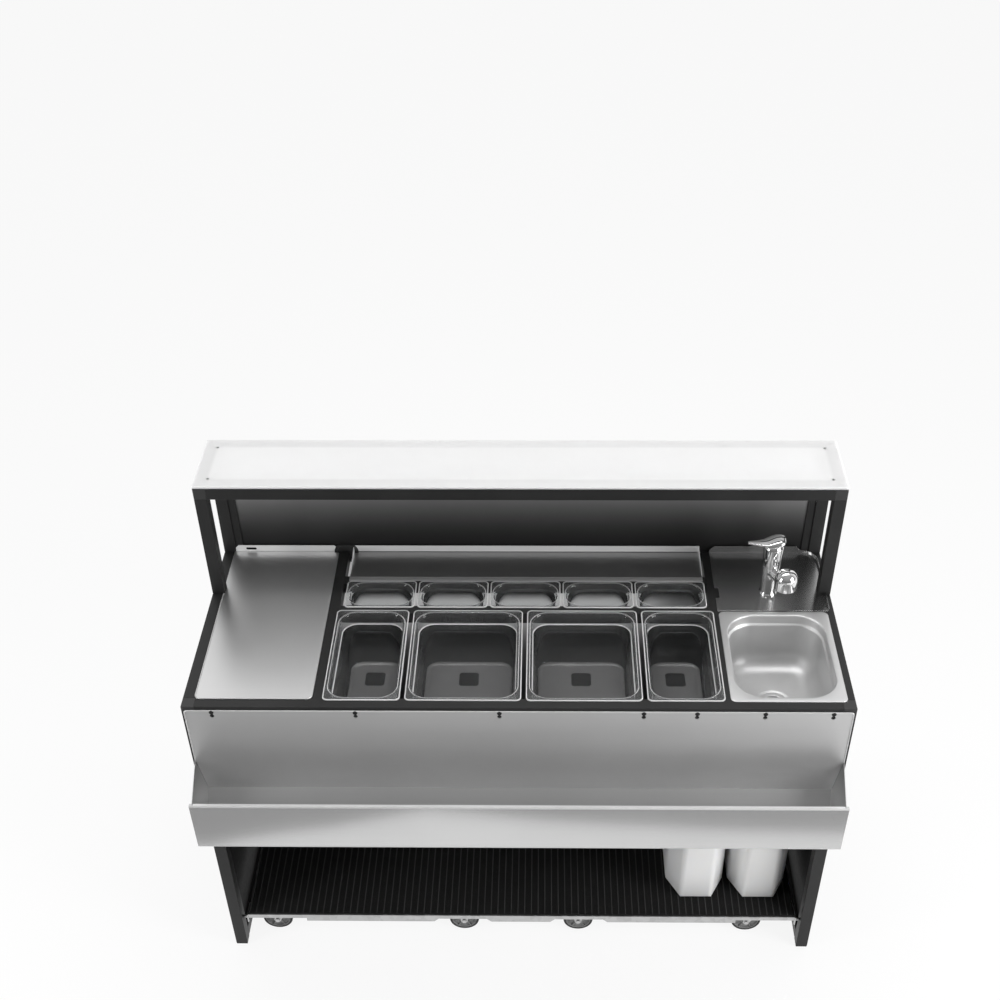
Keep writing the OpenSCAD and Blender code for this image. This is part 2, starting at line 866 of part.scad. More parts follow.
module rail_studs() {
    reach = rail_gap + sheet + rail_gap;
    stud_z = keyhole_z + keyhole_travel;
    color("#3a3a3a") for (x = keyhole_xs) translate([x, front_y, stud_z]) rotate([90, 0, 0]) {
        cylinder(r = stud_neck_r, h = reach);
        translate([0, 0, reach]) cylinder(r = stud_head_r, h = stud_head_t);
    }
}

// Back sheet of the rail with round upper corners and keyholes
module rail_back() {
    w = rail_w;
    h = rail_top_z - rail_floor_z;
    r = rail_corner_r;
    difference() {
        translate([-w / 2, rail_face_y + sheet, rail_floor_z]) upright_sheet(sheet) {
            square([w, h - r]);
            translate([r, 0]) square([w - 2 * r, h]);
            for (x = [r, w - r]) translate([x, h - r]) circle(r);
        }
        for (x = keyhole_xs) translate([x, rail_face_y + sheet + over, keyhole_z]) rotate([90, 0, 0]) {
            cylinder(r = keyhole_r, h = sheet + 2 * over);
            translate([0, keyhole_travel, 0]) cylinder(r = slot_r, h = sheet + 2 * over);
            translate([-slot_r, 0, 0]) cube([2 * slot_r, keyhole_travel, sheet + 2 * over]);
        }
    }
}

// End sheet of the trough, leaning inwards from its top edge to the floor
module rail_end() {
    stretch = 1 / cos(end_tilt);
    back_y = rail_face_y + sheet / 2;
    face_y = rail_front_y + sheet / 2;
    front_drop = end_top_rise * stretch;
    back_drop = (end_top_z - rail_floor_z - sheet / 2) * stretch;
    foot_drop = (end_top_z - rail_low_z - sheet / 2) * stretch;
    outline = [[back_y, 0], [face_y, -front_drop], [face_y, -foot_drop], [back_y, -back_drop]];
    translate([rail_w / 2 - sheet, 0, end_top_z]) rotate([0, end_tilt, 0]) side_sheet(sheet) polygon(outline);
}

module speed_rail() {
    floor_t = sheet / cos(atan(rail_floor_rise / rail_reach));
    floor_outline = [
        [rail_front_y, rail_low_z], [rail_face_y + sheet, rail_floor_z],
        [rail_face_y + sheet, rail_floor_z + floor_t], [rail_front_y, rail_low_z + floor_t]
    ];
    color("#c9c9c7") {
        rail_back();
        translate([-rail_w / 2, 0, 0]) side_sheet(rail_w) {
            polygon(floor_outline);
            translate([rail_front_y, rail_low_z]) square([sheet, rail_front_h]);
            translate([rail_front_y, rail_lip_z - sheet]) square([hem_w, sheet]);
        }
        both_sides() rail_end();
    }
}

// Trolley

// Front or rear flange of the shelf, cut out over the castors
module shelf_flange() {
    low = -flange_h;
    short = -flange_short_h;
    mid = flange_notch_w / 2;
    end = shelf_x - flange_end;
    half = [
        [0, 0], [shelf_x, 0], [shelf_x, short], [end, short], [end, low],
        [fixed_x + mid + flange_notch_run, low], [fixed_x + mid, short],
        [fixed_x - mid, short], [fixed_x - mid - flange_notch_run, low], [0, low]
    ];
    upright_sheet(sheet) both_sides() polygon(half);
}

module shelf_tray() {
    color("#b9bab8") {
        translate([-shelf_x, shelf_y0, shelf_under_z]) cube([2 * shelf_x, shelf_y1 - shelf_y0, sheet]);
        for (y = [shelf_y0 + sheet, shelf_y1]) translate([0, y, shelf_h]) shelf_flange();
    }
}

// Rubber mat with ribs along the depth
module shelf_mat() {
    w = 2 * (shelf_x - mat_edge);
    l = shelf_y1 - shelf_y0 - 2 * mat_edge;
    ribs = floor(w / rib_pitch);
    rib_x0 = (w - (ribs - 1) * rib_pitch - rib_w) / 2;
    color("#141414") translate([mat_edge - shelf_x, shelf_y0 + mat_edge, shelf_h]) {
        cube([w, l, mat_t]);
        for (i = [0 : ribs - 1]) translate([rib_x0 + i * rib_pitch, 0, mat_t]) cube([rib_w, l, rib_h]);
    }
}

// Plates at the shelf's ends that hook over the pins of the legs
module shelf_hooks() {
    slot = pin_r + pin_gap;
    slot_h = hook_drop - pin_drop;
    color("#a9aaa8") both_sides() for (place = hook_places)
        translate([shelf_x, place[0], shelf_h]) difference() {
            translate([0, place[1], -hook_drop]) cube([hook_t, hook_in + hook_out, hook_drop]);
            translate([-over, 0, -pin_drop]) rotate([0, 90, 0]) cylinder(r = slot, h = hook_t + 2 * over);
            translate([-over, -slot, -hook_drop - over]) cube([hook_t + 2 * over, 2 * slot, slot_h + over]);
        }
}

module hook_pins() {
    color("#8f908e") both_sides() for (place = hook_places) translate([in_x, place[0], pin_z])
        rotate([0, -90, 0]) cylinder(r = pin_r, h = shelf_side_gap - pin_end);
}

// Castors

module at_swivels() {
    for (x = [-swivel_x, swivel_x], y = [castor_front_y, castor_rear_y]) translate([x, y, 0]) children();
}

module at_fixed() {
    for (x = [-fixed_x, fixed_x], y = [castor_front_y, castor_rear_y]) translate([x, y, 0]) children();
}

// Plates under the shelf, with the races and kingpins of the swivel castors
module castor_plates() {
    color("#b0b1af") {
        at_swivels() {
            translate([-plate_w / 2, -plate_w / 2, plate_z]) cube([plate_w, plate_w, plate_t]);
            translate([0, 0, plate_z - race_h]) cylinder(r = race_r, h = race_h);
            translate([0, 0, crown_z - turn_gap]) cylinder(r = kingpin_r, h = plate_z - crown_z + turn_gap);
            translate([0, 0, crown_z - turn_gap - kingpin_head_h])
                cylinder(r = kingpin_head_r, h = kingpin_head_h);
        }
        at_fixed() translate([-plate_w / 2, -plate_w / 2, plate_z]) cube([plate_w, plate_w, plate_t]);
    }
}

// One cheek of a fork in X and Z: from the crown down to the axle at axle_x
module fork_cheek(axle_x, top_z) {
    r = fork_boss_r;
    upright_sheet(fork_t) {
        polygon([[axle_x - r, wheel_z], [axle_x + r, wheel_z], [crown_r, top_z], [-crown_r, top_z]]);
        translate([axle_x, wheel_z]) circle(r);
    }
}

// Both cheeks and the axle bolt with its nuts, with the wheel at axle_x from the origin
module fork_legs(axle_x, top_z) {
    for (y = [fork_t - fork_out_y, fork_out_y]) translate([0, y, 0]) fork_cheek(axle_x, top_z);
    translate([axle_x, fork_out_y + axle_nut_h, wheel_z]) rotate([90, 0, 0]) {
        cylinder(r = axle_r, h = 2 * (fork_out_y + axle_nut_h));
        cylinder(r = axle_nut_r, h = axle_nut_h, $fn = 6);
        translate([0, 0, 2 * fork_out_y + axle_nut_h]) cylinder(r = axle_nut_r, h = axle_nut_h, $fn = 6);
    }
}

module fixed_forks() {
    color("#b0b1af") at_fixed() fork_legs(0, plate_z);
}

// Swivel fork: a crown plate that turns on the kingpin, and two trailing cheeks
module swivel_fork(x, y) {
    color("#b0b1af") translate([x, y, 0]) {
        translate([0, 0, crown_z]) difference() {
            union() {
                cylinder(r = crown_r, h = crown_t);
                translate([-crown_r, -fork_out_y, 0]) cube([2 * crown_r, 2 * fork_out_y, crown_t]);
            }
            translate([0, 0, -over]) cylinder(r = kingpin_r + run_gap, h = crown_t + 2 * over);
        }
        fork_legs(-castor_trail, crown_z);
    }
}

// Wheel on its axle: rubber tyre round a webbed hub
module castor_wheel(x, y) {
    rim_r = wheel_r - tyre_t;
    web_w = wheel_w * hub_web_share;
    bore_r = axle_r + run_gap;
    boss_w = wheel_w + fork_gap;
    tread_r = min(tyre_round, tyre_t / 2 - hub_gap);
    translate([x, y, wheel_z]) rotate([90, 0, 0]) {
        color("#1a1a1a") rotate_extrude() difference() {
            translate([rim_r, -wheel_w / 2]) round_rect(tyre_t, wheel_w, tread_r);
            translate([rim_r - over, -wheel_w / 2 - over]) square([over, wheel_w + 2 * over]);
        }
        color("#8c8d8e") rotate_extrude() {
            translate([bore_r, -boss_w / 2]) square([hub_boss_r - bore_r, boss_w]);
            translate([bore_r, -web_w / 2]) square([rim_r - hub_gap - bore_r, web_w]);
        }
    }
}

module swivel_fork_front_left() swivel_fork(-swivel_x, castor_front_y);
module swivel_fork_front_right() swivel_fork(swivel_x, castor_front_y);
module swivel_fork_rear_left() swivel_fork(-swivel_x, castor_rear_y);
module swivel_fork_rear_right() swivel_fork(swivel_x, castor_rear_y);
module swivel_wheel_front_left() castor_wheel(-swivel_x - castor_trail, castor_front_y);
module swivel_wheel_front_right() castor_wheel(swivel_x - castor_trail, castor_front_y);
module swivel_wheel_rear_left() castor_wheel(-swivel_x - castor_trail, castor_rear_y);
module swivel_wheel_rear_right() castor_wheel(swivel_x - castor_trail, castor_rear_y);
module fixed_wheel_front_left() castor_wheel(-fixed_x, castor_front_y);
module fixed_wheel_front_right() castor_wheel(fixed_x, castor_front_y);
module fixed_wheel_rear_left() castor_wheel(-fixed_x, castor_rear_y);
module fixed_wheel_rear_right() castor_wheel(fixed_x, castor_rear_y);

// Cans

// Eight-sided plan of a can, let in by wall on every side
module can_plan(wall) {
    x = can_w / 2 - wall;
    y = can_d / 2 - wall;
    cx = x - can_chamfer_x;
    cy = y - can_chamfer_y;
    polygon([[-cx, -y], [cx, -y], [x, -cy], [x, cy], [cx, y], [-cx, y], [-x, cy], [-x, -cy]]);
}

// Blow-moulded can with an open neck
module can(x) {
    neck_y = can_d / 2 - can_neck_back;
    color("#ecece8") translate([x, can_y0 + can_d / 2, can_z]) difference() {
        union() {
            linear_extrude(can_h) can_plan(0);
            translate([0, neck_y, can_h]) cylinder(r = can_neck_r, h = can_neck_h);
        }
        translate([0, 0, can_wall]) linear_extrude(can_h - 2 * can_wall) can_plan(can_wall);
        translate([0, neck_y, can_h - can_wall - over])
            cylinder(r = can_neck_r - can_neck_wall, h = can_wall + can_neck_h + 2 * over);
    }
}

module can_cap(x) {
    inner_r = can_neck_r + cap_skirt_gap;
    color("#e4e4e0") translate([x, can_y0 + can_d - can_neck_back, can_z + can_h + rest_gap]) difference() {
        cylinder(r = inner_r + cap_wall, h = can_neck_h + cap_wall);
        translate([0, 0, -over]) cylinder(r = inner_r, h = can_neck_h + over);
    }
}

module can_left() can(can_left_x);
module can_right() can(can_right_x);
module can_cap_left() can_cap(can_left_x);
module can_cap_right() can_cap(can_right_x);

front_legs();
rear_legs();
worktop_beams();
bay_dividers();
pan_crossbars();
corner_connectors();
floor_rails();
foot_pads();
counter_uprights();
counter_beams();
counter_slab();
panel_screws();
rear_panel_upper();
rear_panel_lower();
panel_strips();
side_panels();
rail_studs();
rear_filler();
cable_grommet();
sink_deck();
sink_bowl();
sink_drain();
tap_body();
tap_locknut();
shelf_tray();
shelf_mat();
shelf_hooks();
hook_pins();
castor_plates();
fixed_forks();
work_cover();
speed_rail();
tap_spout();
tap_cap();
tap_lever();
pan_third_left();
pan_half_left();
pan_half_right();
pan_third_right();
pan_ninth_1();
pan_ninth_2();
pan_ninth_3();
pan_ninth_4();
pan_ninth_5();
swivel_fork_front_left();
swivel_fork_front_right();
swivel_fork_rear_left();
swivel_fork_rear_right();
swivel_wheel_front_left();
swivel_wheel_front_right();
swivel_wheel_rear_left();
swivel_wheel_rear_right();
fixed_wheel_front_left();
fixed_wheel_front_right();
fixed_wheel_rear_left();
fixed_wheel_rear_right();
can_left();
can_right();
can_cap_left();
can_cap_right();
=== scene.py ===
"""Mobile bar unit: shells, finishes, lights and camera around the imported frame, in metres."""
import json
import math
from collections import namedtuple

import bmesh
import bpy
from mathutils import Matrix, Vector


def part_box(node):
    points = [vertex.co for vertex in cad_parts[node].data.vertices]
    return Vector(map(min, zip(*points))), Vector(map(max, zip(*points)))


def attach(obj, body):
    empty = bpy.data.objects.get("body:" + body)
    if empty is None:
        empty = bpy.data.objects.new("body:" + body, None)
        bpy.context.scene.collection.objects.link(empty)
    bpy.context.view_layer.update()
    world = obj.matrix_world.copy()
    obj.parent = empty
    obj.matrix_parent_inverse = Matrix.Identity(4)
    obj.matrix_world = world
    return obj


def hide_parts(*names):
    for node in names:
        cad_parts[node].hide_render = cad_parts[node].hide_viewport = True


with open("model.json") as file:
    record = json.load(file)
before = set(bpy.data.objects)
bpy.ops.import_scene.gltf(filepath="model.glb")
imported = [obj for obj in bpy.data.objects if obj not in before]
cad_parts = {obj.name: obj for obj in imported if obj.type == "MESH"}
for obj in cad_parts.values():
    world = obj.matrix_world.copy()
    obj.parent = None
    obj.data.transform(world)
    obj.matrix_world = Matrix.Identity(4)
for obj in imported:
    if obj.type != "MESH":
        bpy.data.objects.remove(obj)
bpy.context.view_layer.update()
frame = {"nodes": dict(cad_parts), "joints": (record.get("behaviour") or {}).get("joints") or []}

MM = 0.001
MERGE = 0.01 * MM
SHEET = 1.5 * MM
UP = Vector((0.0, 0.0, 1.0))
FRONT = Vector((0.0, -1.0, 0.0))
CORNER_STEPS = 10
TURN_STEPS = 64
SMOOTH_ANGLE = math.radians(38)


# Shader nodes


class Socket:
    """Output of a shader node. Arithmetic on it adds Math nodes to the same tree."""

    def __init__(self, nodes, output):
        self.nodes = nodes
        self.output = output

    def maths(self, operation, *values):
        inputs = dict(enumerate(values))
        return self.nodes.node("ShaderNodeMath", {"operation": operation}, inputs)

    def __add__(self, other):
        return self.maths("ADD", self, other)

    def __radd__(self, other):
        return self.maths("ADD", other, self)

    def __sub__(self, other):
        return self.maths("SUBTRACT", self, other)

    def __rsub__(self, other):
        return self.maths("SUBTRACT", other, self)

    def __mul__(self, other):
        return self.maths("MULTIPLY", self, other)

    def __rmul__(self, other):
        return self.maths("MULTIPLY", other, self)

    def __truediv__(self, other):
        return self.maths("DIVIDE", self, other)

    def __abs__(self):
        return self.maths("ABSOLUTE", self)

    def least(self, other):
        return self.maths("MINIMUM", self, other)

    def most(self, other):
        return self.maths("MAXIMUM", self, other)


class Nodes:
    """A node tree and the few ways in which nodes are added to it."""

    def __init__(self, tree):
        self.tree = tree

    def node(self, kind, settings=None, inputs=None, output=0):
        """Adds a node, sets it up, feeds its sockets and gives back one of its outputs."""
        made = self.tree.nodes.new(kind)
        for key, value in (settings or {}).items():
            if key == "stops":
                elements = made.color_ramp.elements
                elements[0].position, elements[0].color = value[0][0], grey(value[0][1])
                elements[1].position, elements[1].color = value[-1][0], grey(value[-1][1])
                for place, shade in value[1:-1]:
                    elements.new(place).color = grey(shade)
            else:
                setattr(made, key, value)
        for key, value in (inputs or {}).items():
            self.feed(made.inputs[key], value)
        return Socket(self, made.outputs[output])

    def feed(self, socket, value):
        if isinstance(value, Socket):
            self.tree.links.new(value.output, socket)
        else:
            socket.default_value = value

    def ramp(self, value, *stops):
        return self.node("ShaderNodeValToRGB", {"stops": stops}, {"Fac": value})

    def mix(self, factor, first, second):
        """Blend of two colours."""
        inputs = {0: factor, 6: first, 7: second}
        return self.node("ShaderNodeMix", {"data_type": "RGBA"}, inputs, 2)

    def blend_shader(self, factor, first, second):
        return self.node("ShaderNodeMixShader", None, {0: factor, 1: first, 2: second})

    def axes(self, vector):
        """X, Y and Z of a vector."""
        made = self.node("ShaderNodeSeparateXYZ", None, {"Vector": vector}).output.node
        return [Socket(self, output) for output in made.outputs]

    def smooth(self, value, low, high):
        """0 below low, 1 above high, and an even rise between them."""
        settings = {"interpolation_type": "SMOOTHSTEP"}
        inputs = {"Value": value, "From Min": low, "From Max": high}
        return self.node("ShaderNodeMapRange", settings, inputs)


class Finish(Nodes):
    """One material: a Principled shader and the nodes that vary it over the surface."""

    def __init__(self, name, **constants):
        self.material = bpy.data.materials.new(name)
        self.material.use_nodes = True
        super().__init__(self.material.node_tree)
        self.shader = self.tree.nodes["Principled BSDF"]
        self.point = self.node("ShaderNodeTexCoord", output="Object")
        for key, value in constants.items():
            self.set(key.replace("_", " ").title(), value)

    def set(self, socket, value):
        self.feed(self.shader.inputs[socket.replace("Ior", "IOR")], value)

    def noise(self, scale, detail=2.0, stretch=(1.0, 1.0, 1.0), rough=0.5):
        place = self.node("ShaderNodeMapping", None, {"Vector": self.point, "Scale": stretch})
        inputs = {"Vector": place, "Scale": scale, "Detail": detail, "Roughness": rough}
        return self.node("ShaderNodeTexNoise", None, inputs)

    def cells(self, scale):
        """One random value for each cell of a crystal pattern."""
        made = self.node("ShaderNodeTexVoronoi", None, {"Vector": self.point, "Scale": scale}, "Color")
        return self.axes(made)[0]

    def bump(self, height, strength, depth):
        inputs = {"Height": height, "Strength": strength, "Distance": depth}
        self.set("Normal", self.node("ShaderNodeBump", None, inputs))

    def tint(self, factor, dark, light):
        self.set("Base Color", self.mix(factor, grey(dark), grey(light)))

    def gloss(self, factor, low, high):
        self.set("Roughness", low + (high - low) * factor)


def grey(shade):
    """Colour of a grey level, or of three levels."""
    levels = shade if isinstance(shade, tuple) else (shade, shade, shade)
    return (*levels, 1.0)


# Finishes

FINE_GRIND = (2.0, 700.0, 700.0)
DECK_GRIND = (2.0, 500.0, 500.0)
# heights over which painted shade darkens the inner face of the lower rear panel
REAR_PAINTED_SHADE = (500.0 * MM, 680.0 * MM)
RAIL_CREASE = 604.8 * MM
# painted light on the back of the rail's trough: how high it rises over the crease, and the span along which
# it grows paler to the right
RAIL_FOOT_RISE = 120.0 * MM
RAIL_PAINTED_LIGHT_SIDE = (250.0 * MM, 700.0 * MM)
RAIL_END_TOP = 692.0 * MM
RAIL_END_LEAN = math.tan(math.radians(10.0))
# border over which painted shade greys the opal slab, where the frame lies under it
OPAL_PAINTED_SHADE_BORDER = (26.0 * MM, 38.0 * MM)


def powder_coat(name, dark, light):
    """Baked powder coat: fine orange peel, with patches that are a little rubbed."""
    coat = Finish(name, specular_ior_level=0.3)
    patches = coat.noise(5.0, 3.0)
    peel = coat.noise(650.0, 2.0)
    coat.tint(coat.ramp(patches, (0.35, 0.0), (0.7, 1.0)), dark, light)
    coat.gloss(coat.noise(40.0), 0.38, 0.54)
    coat.bump(peel, 0.12, 0.3 * MM)
    return coat.material


def moulded_plastic(name, dark, light, low, high, sheen=0.5):
    """Matt moulded plastic with a spark-eroded skin."""
    plastic = Finish(name, specular_ior_level=sheen)
    plastic.tint(plastic.noise(14.0, 3.0), dark, light)
    plastic.gloss(plastic.noise(90.0), low, high)
    plastic.bump(plastic.noise(1400.0, 1.0), 0.15, 0.2 * MM)
    return plastic.material


def ground_sheet(name, grind, metallic=1.0):
    """Finish of ground sheet, and its two patterns: long fine scratches and soft clouds."""
    steel = Finish(name, metallic=metallic)
    grain = steel.noise(1.0, 6.0, grind, 0.65)
    clouds = steel.noise(3.5, 2.0)
    steel.bump(grain, 0.03, 0.05 * MM)
    return steel, grain, clouds


def brushed_steel(name, dark, light, low, high, grind, metallic=1.0):
    """Stainless sheet of one shade, ground in one direction."""
    steel, grain, clouds = ground_sheet(name, grind, metallic)
    steel.tint(0.35 * grain + 0.65 * clouds, dark, light)
    steel.gloss(0.5 * grain + 0.5 * clouds, low, high)
    return steel.material


def rear_sheet():
    """Lower rear panel: clean outside; inside, painted shade darkens it towards the shelf."""
    steel, grain, clouds = ground_sheet("rear_sheet_steel", FINE_GRIND)
    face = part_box("rear_panel_lower")[0].y
    _, y, z = steel.axes(steel.point)
    inside = 1.0 - steel.smooth(y, face + 0.5 * MM, face + 1.0 * MM)
    # painted shade: on the inner face, the sheet grows darker towards the shelf
    tone_shift = inside * (1.0 - steel.smooth(z, *REAR_PAINTED_SHADE))
    shade = 0.60 + 0.04 * grain + 0.08 * clouds
    steel.tint(shade * (1.0 - 0.75 * tone_shift), 0.0, 1.0)
    steel.gloss(0.5 * grain + 0.5 * clouds, 0.26, 0.36)
    return steel.material


def rail_steel():
    """Rail sheet: satin, with a finer front; in the trough, painted light makes the back paler near its foot
    and more so towards the right, and painted shade darkens the floor and the ends.
    """
    steel, grain, clouds = ground_sheet("rail_satin", FINE_GRIND, 0.86)
    low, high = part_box("speed_rail")
    x, y, z = steel.axes(steel.point)
    fine = 1.0 - steel.smooth(y, low.y + 0.2 * MM, low.y + 0.9 * MM)
    lean = abs(x) + RAIL_END_LEAN * (RAIL_END_TOP - z)
    inner = high.x - SHEET
    ends = steel.smooth(lean, inner - 1.0 * MM, inner - 0.4 * MM)
    trough = (1.0 - fine) * (1.0 - steel.smooth(lean, inner + 0.5 * MM, inner + 1.0 * MM))
    floor = (1.0 - ends) * (1.0 - steel.smooth(z, RAIL_CREASE - 0.5 * MM, RAIL_CREASE + 0.5 * MM))
    foot = 1.0 - steel.smooth(z, RAIL_CREASE, RAIL_CREASE + RAIL_FOOT_RISE)
    # painted light: the back of the trough is paler near its foot, more so towards the right; painted shade:
    # its floor and its ends are darker
    painted_light = 0.38 + 0.26 * (1.0 - floor) * steel.smooth(x, *RAIL_PAINTED_LIGHT_SIDE)
    tone_factor = 1.0 + trough * (painted_light * foot - 0.60 * floor - 0.66 * ends)
    steel.tint((0.62 + 0.035 * grain + 0.065 * clouds) * tone_factor, 0.0, 1.0)
    satin = 0.36 + 0.08 * clouds + 0.05 * grain
    steel.set("Roughness", satin - fine * (satin - 0.13))
    return steel.material


def worktop_steel(name, shade):
    """Ground sheet of the worktop: fine on the flat; what stands up from it is coarser and less metallic, and
    paler by painted light.
    """
    steel, grain, clouds = ground_sheet(name, DECK_GRIND)
    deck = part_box("rear_filler")[0].z
    raised = steel.smooth(steel.axes(steel.point)[2], deck + 2.0 * MM, deck + 4.0 * MM)
    # painted light: what stands up from the deck is paler; it is also rougher and less metallic
    flat = shade + 0.04 * grain + 0.06 * clouds
    steel.tint(flat + raised * (0.86 - flat), 0.0, 1.0)
    ground = 0.32 + 0.05 * grain + 0.05 * clouds
    steel.set("Roughness", ground + raised * (0.62 - ground))
    steel.set("Metallic", 1.0 - 0.4 * raised)
    return steel.material


def pressed_steel():
    """Deep-drawn satin steel of the sink, with faint drawing marks."""
    steel = Finish("sink_satin", metallic=0.94)
    marks = steel.noise(1.0, 4.0, (220.0, 220.0, 30.0))
    # patches of wear on the drawn steel
    tone_factor = steel.noise(12.0, 4.0)
    steel.tint(tone_factor, 0.63, 0.71)
    steel.gloss(0.5 * marks + 0.5 * tone_factor, 0.45, 0.56)
    steel.bump(marks, 0.04, 0.1 * MM)
    return steel.material


def chrome_plate(name, dark, light, low, high):
    """Polished plating with water spots that dull it a little."""
    plate = Finish(name, metallic=1.0)
    spots = plate.ramp(plate.noise(160.0, 2.0), (0.58, 0.0), (0.68, 1.0))
    plate.tint(spots, light, dark)
    plate.gloss(spots, low, high)
    return plate.material


def galvanised_sheet():
    """Zinc-coated sheet with spangle crystals."""
    sheet = Finish("shelf_galvanised", metallic=1.0)
    spangle = sheet.cells(70.0)
    # random stains on the zinc
    tone_shift = sheet.noise(6.0, 4.0)
    sheet.tint(0.6 * spangle + 0.4 * tone_shift, 0.44, 0.64)
    sheet.gloss(spangle, 0.32, 0.50)
    sheet.bump(sheet.noise(300.0, 2.0), 0.05, 0.1 * MM)
    return sheet.material


def zinc_plate():
    """Bright zinc with a dull bloom."""
    plate = Finish("zinc_plated", metallic=1.0)
    bloom = plate.noise(60.0, 3.0)
    plate.tint(bloom, 0.46, 0.62)
    plate.gloss(bloom, 0.26, 0.42)
    plate.bump(plate.noise(500.0, 1.0), 0.05, 0.1 * MM)
    return plate.material


def brass_metal():
    """Turned brass, tarnished in patches."""
    brass = Finish("nut_brass", metallic=1.0)
    tarnish = brass.noise(80.0, 3.0)
    brass.tint(tarnish, (0.50, 0.34, 0.12), (0.72, 0.54, 0.24))
    brass.gloss(tarnish, 0.22, 0.40)
    return brass.material


def opal_slab():
    """White opal sheet that lets light through, with painted shade: greyer along its border, where the frame
    lies under it.
    """
    slab = Finish("counter_opal", subsurface_weight=1.0, subsurface_scale=0.02)
    slab.set("Subsurface Radius", (1.0, 1.0, 1.0))
    low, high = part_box("counter_slab")
    middle = (low + high) / 2
    half = (high - low) / 2
    x, y, _ = slab.axes(slab.point)
    edge_x = half.x - abs(x - middle.x)
    edge_y = half.y - abs(y - middle.y)
    # painted shade: greyer along the border, over the frame
    inner = slab.smooth(edge_x.least(edge_y), *OPAL_PAINTED_SHADE_BORDER)
    haze = slab.noise(25.0, 3.0)
    slab.tint(0.86 * inner + 0.14 * haze, 0.80, 0.95)
    slab.gloss(haze, 0.30, 0.42)
    slab.bump(slab.noise(900.0, 1.0), 0.03, 0.1 * MM)
    return slab.material


def anthracite_panel():
    """Dark anodised sheet, finely ground along its length; its face carries painted light, lighter towards
    its top and darker towards its foot.
    """
    panel = Finish("panel_anodised", metallic=0.9)
    grain = panel.noise(1.0, 5.0, (3.0, 420.0, 420.0), 0.6)
    clouds = panel.noise(3.0, 2.0)
    low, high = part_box("rear_panel_upper")
    _, y, z = panel.axes(panel.point)
    # painted light: the front face grows lighter towards its top; the back face keeps one shade
    rise = panel.smooth(z, low.z, high.z)
    ahead = 1.0 - panel.smooth(y, low.y + 0.8 * MM, low.y + 1.6 * MM)
    shade = 0.16 + ahead * ((0.20 + 0.46 * rise) * rise - 0.12)
    panel.tint(shade * (0.84 + 0.06 * grain + 0.10 * clouds), 0.0, 1.0)
    panel.gloss(grain, 0.46, 0.56)
    panel.bump(grain, 0.03, 0.05 * MM)
    return panel.material


def ribbed_rubber():
    """Black rubber of the mat, worn greyer along the tops of its ribs."""
    rubber = Finish("mat_rubber", specular_ior_level=0.25)
    dust = rubber.noise(30.0, 4.0)
    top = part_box("shelf_mat")[1].z
    worn = rubber.smooth(rubber.axes(rubber.point)[2], top - 0.6 * MM, top - 0.1 * MM)
    rubber.tint(worn * (0.7 + 0.3 * dust), 0.006, 0.050)
    rubber.gloss(dust, 0.55, 0.72)
    rubber.bump(rubber.noise(700.0, 2.0), 0.2, 0.3 * MM)
    return rubber.material


def tyre_rubber():
    """Black rubber of the tyres, dusty from the floor."""
    rubber = Finish("tyre_rubber", specular_ior_level=0.4)
    dust = rubber.noise(60.0, 4.0)
    rubber.tint(dust, 0.014, 0.035)
    rubber.gloss(dust, 0.50, 0.72)
    rubber.bump(rubber.noise(900.0, 2.0), 0.15, 0.2 * MM)
    return rubber.material


def clear_plastic():
    """Clear polycarbonate, with a breath of haze from washing."""
    clear = Finish("pan_clear", transmission_weight=0.97, ior=1.28)
    wash = clear.noise(18.0, 2.0)
    clear.tint(wash, (0.90, 0.915, 0.92), (0.94, 0.95, 0.95))
    clear.gloss(wash, 0.0, 0.02)
    return clear.material


def frosted_floor():
    """Floor of a pan, scuffed to a light frost."""
    frost = Finish("pan_frosted", transmission_weight=0.55, ior=1.40)
    scuffs = frost.noise(14.0, 2.0)
    frost.tint(scuffs, 0.34, 0.40)
    frost.gloss(scuffs, 0.16, 0.24)
    frost.bump(frost.noise(900.0, 2.0), 0.05, 0.1 * MM)
    return frost.material


def painted_highlight_edge():
    """Painted highlight: a whitish, partly clear finish on the edges and beads of a pan, along the bright
    lines of its rim, mouth and ledge.
    """
    edge = Finish("pan_edge", transmission_weight=0.35, ior=1.40)
    tone_factor = edge.noise(30.0, 2.0)
    edge.tint(tone_factor, 0.86, 0.94)
    edge.gloss(tone_factor, 0.10, 0.20)
    return edge.material


def blown_white(name, dark, light):
    """Blow-moulded natural plastic: milky, with flow marks and a soft skin."""
    milk = Finish(name, subsurface_weight=0.6, subsurface_scale=0.012)
    milk.set("Subsurface Radius", (1.0, 0.95, 0.85))
    flow = milk.noise(9.0, 4.0, (1.0, 1.0, 0.35))
    milk.tint(flow, dark, light)
    milk.gloss(flow, 0.36, 0.52)
    milk.bump(milk.noise(220.0, 2.0), 0.06, 0.3 * MM)
    return milk.material


BLACK_COAT = powder_coat("frame_powder_coat", 0.015, 0.022)
CONNECTOR = moulded_plastic("connector_nylon", 0.020, 0.030, 0.46, 0.60)
RUBBER_FOOT = moulded_plastic("foot_rubber", 0.012, 0.022, 0.55, 0.75)
SIDE_BOARD = moulded_plastic("side_board", 0.006, 0.012, 0.60, 0.80, 0.10)
RAIL_STEEL = rail_steel()
REAR_SHEET = rear_sheet()
COVER_STEEL = worktop_steel("cover_steel", 0.70)
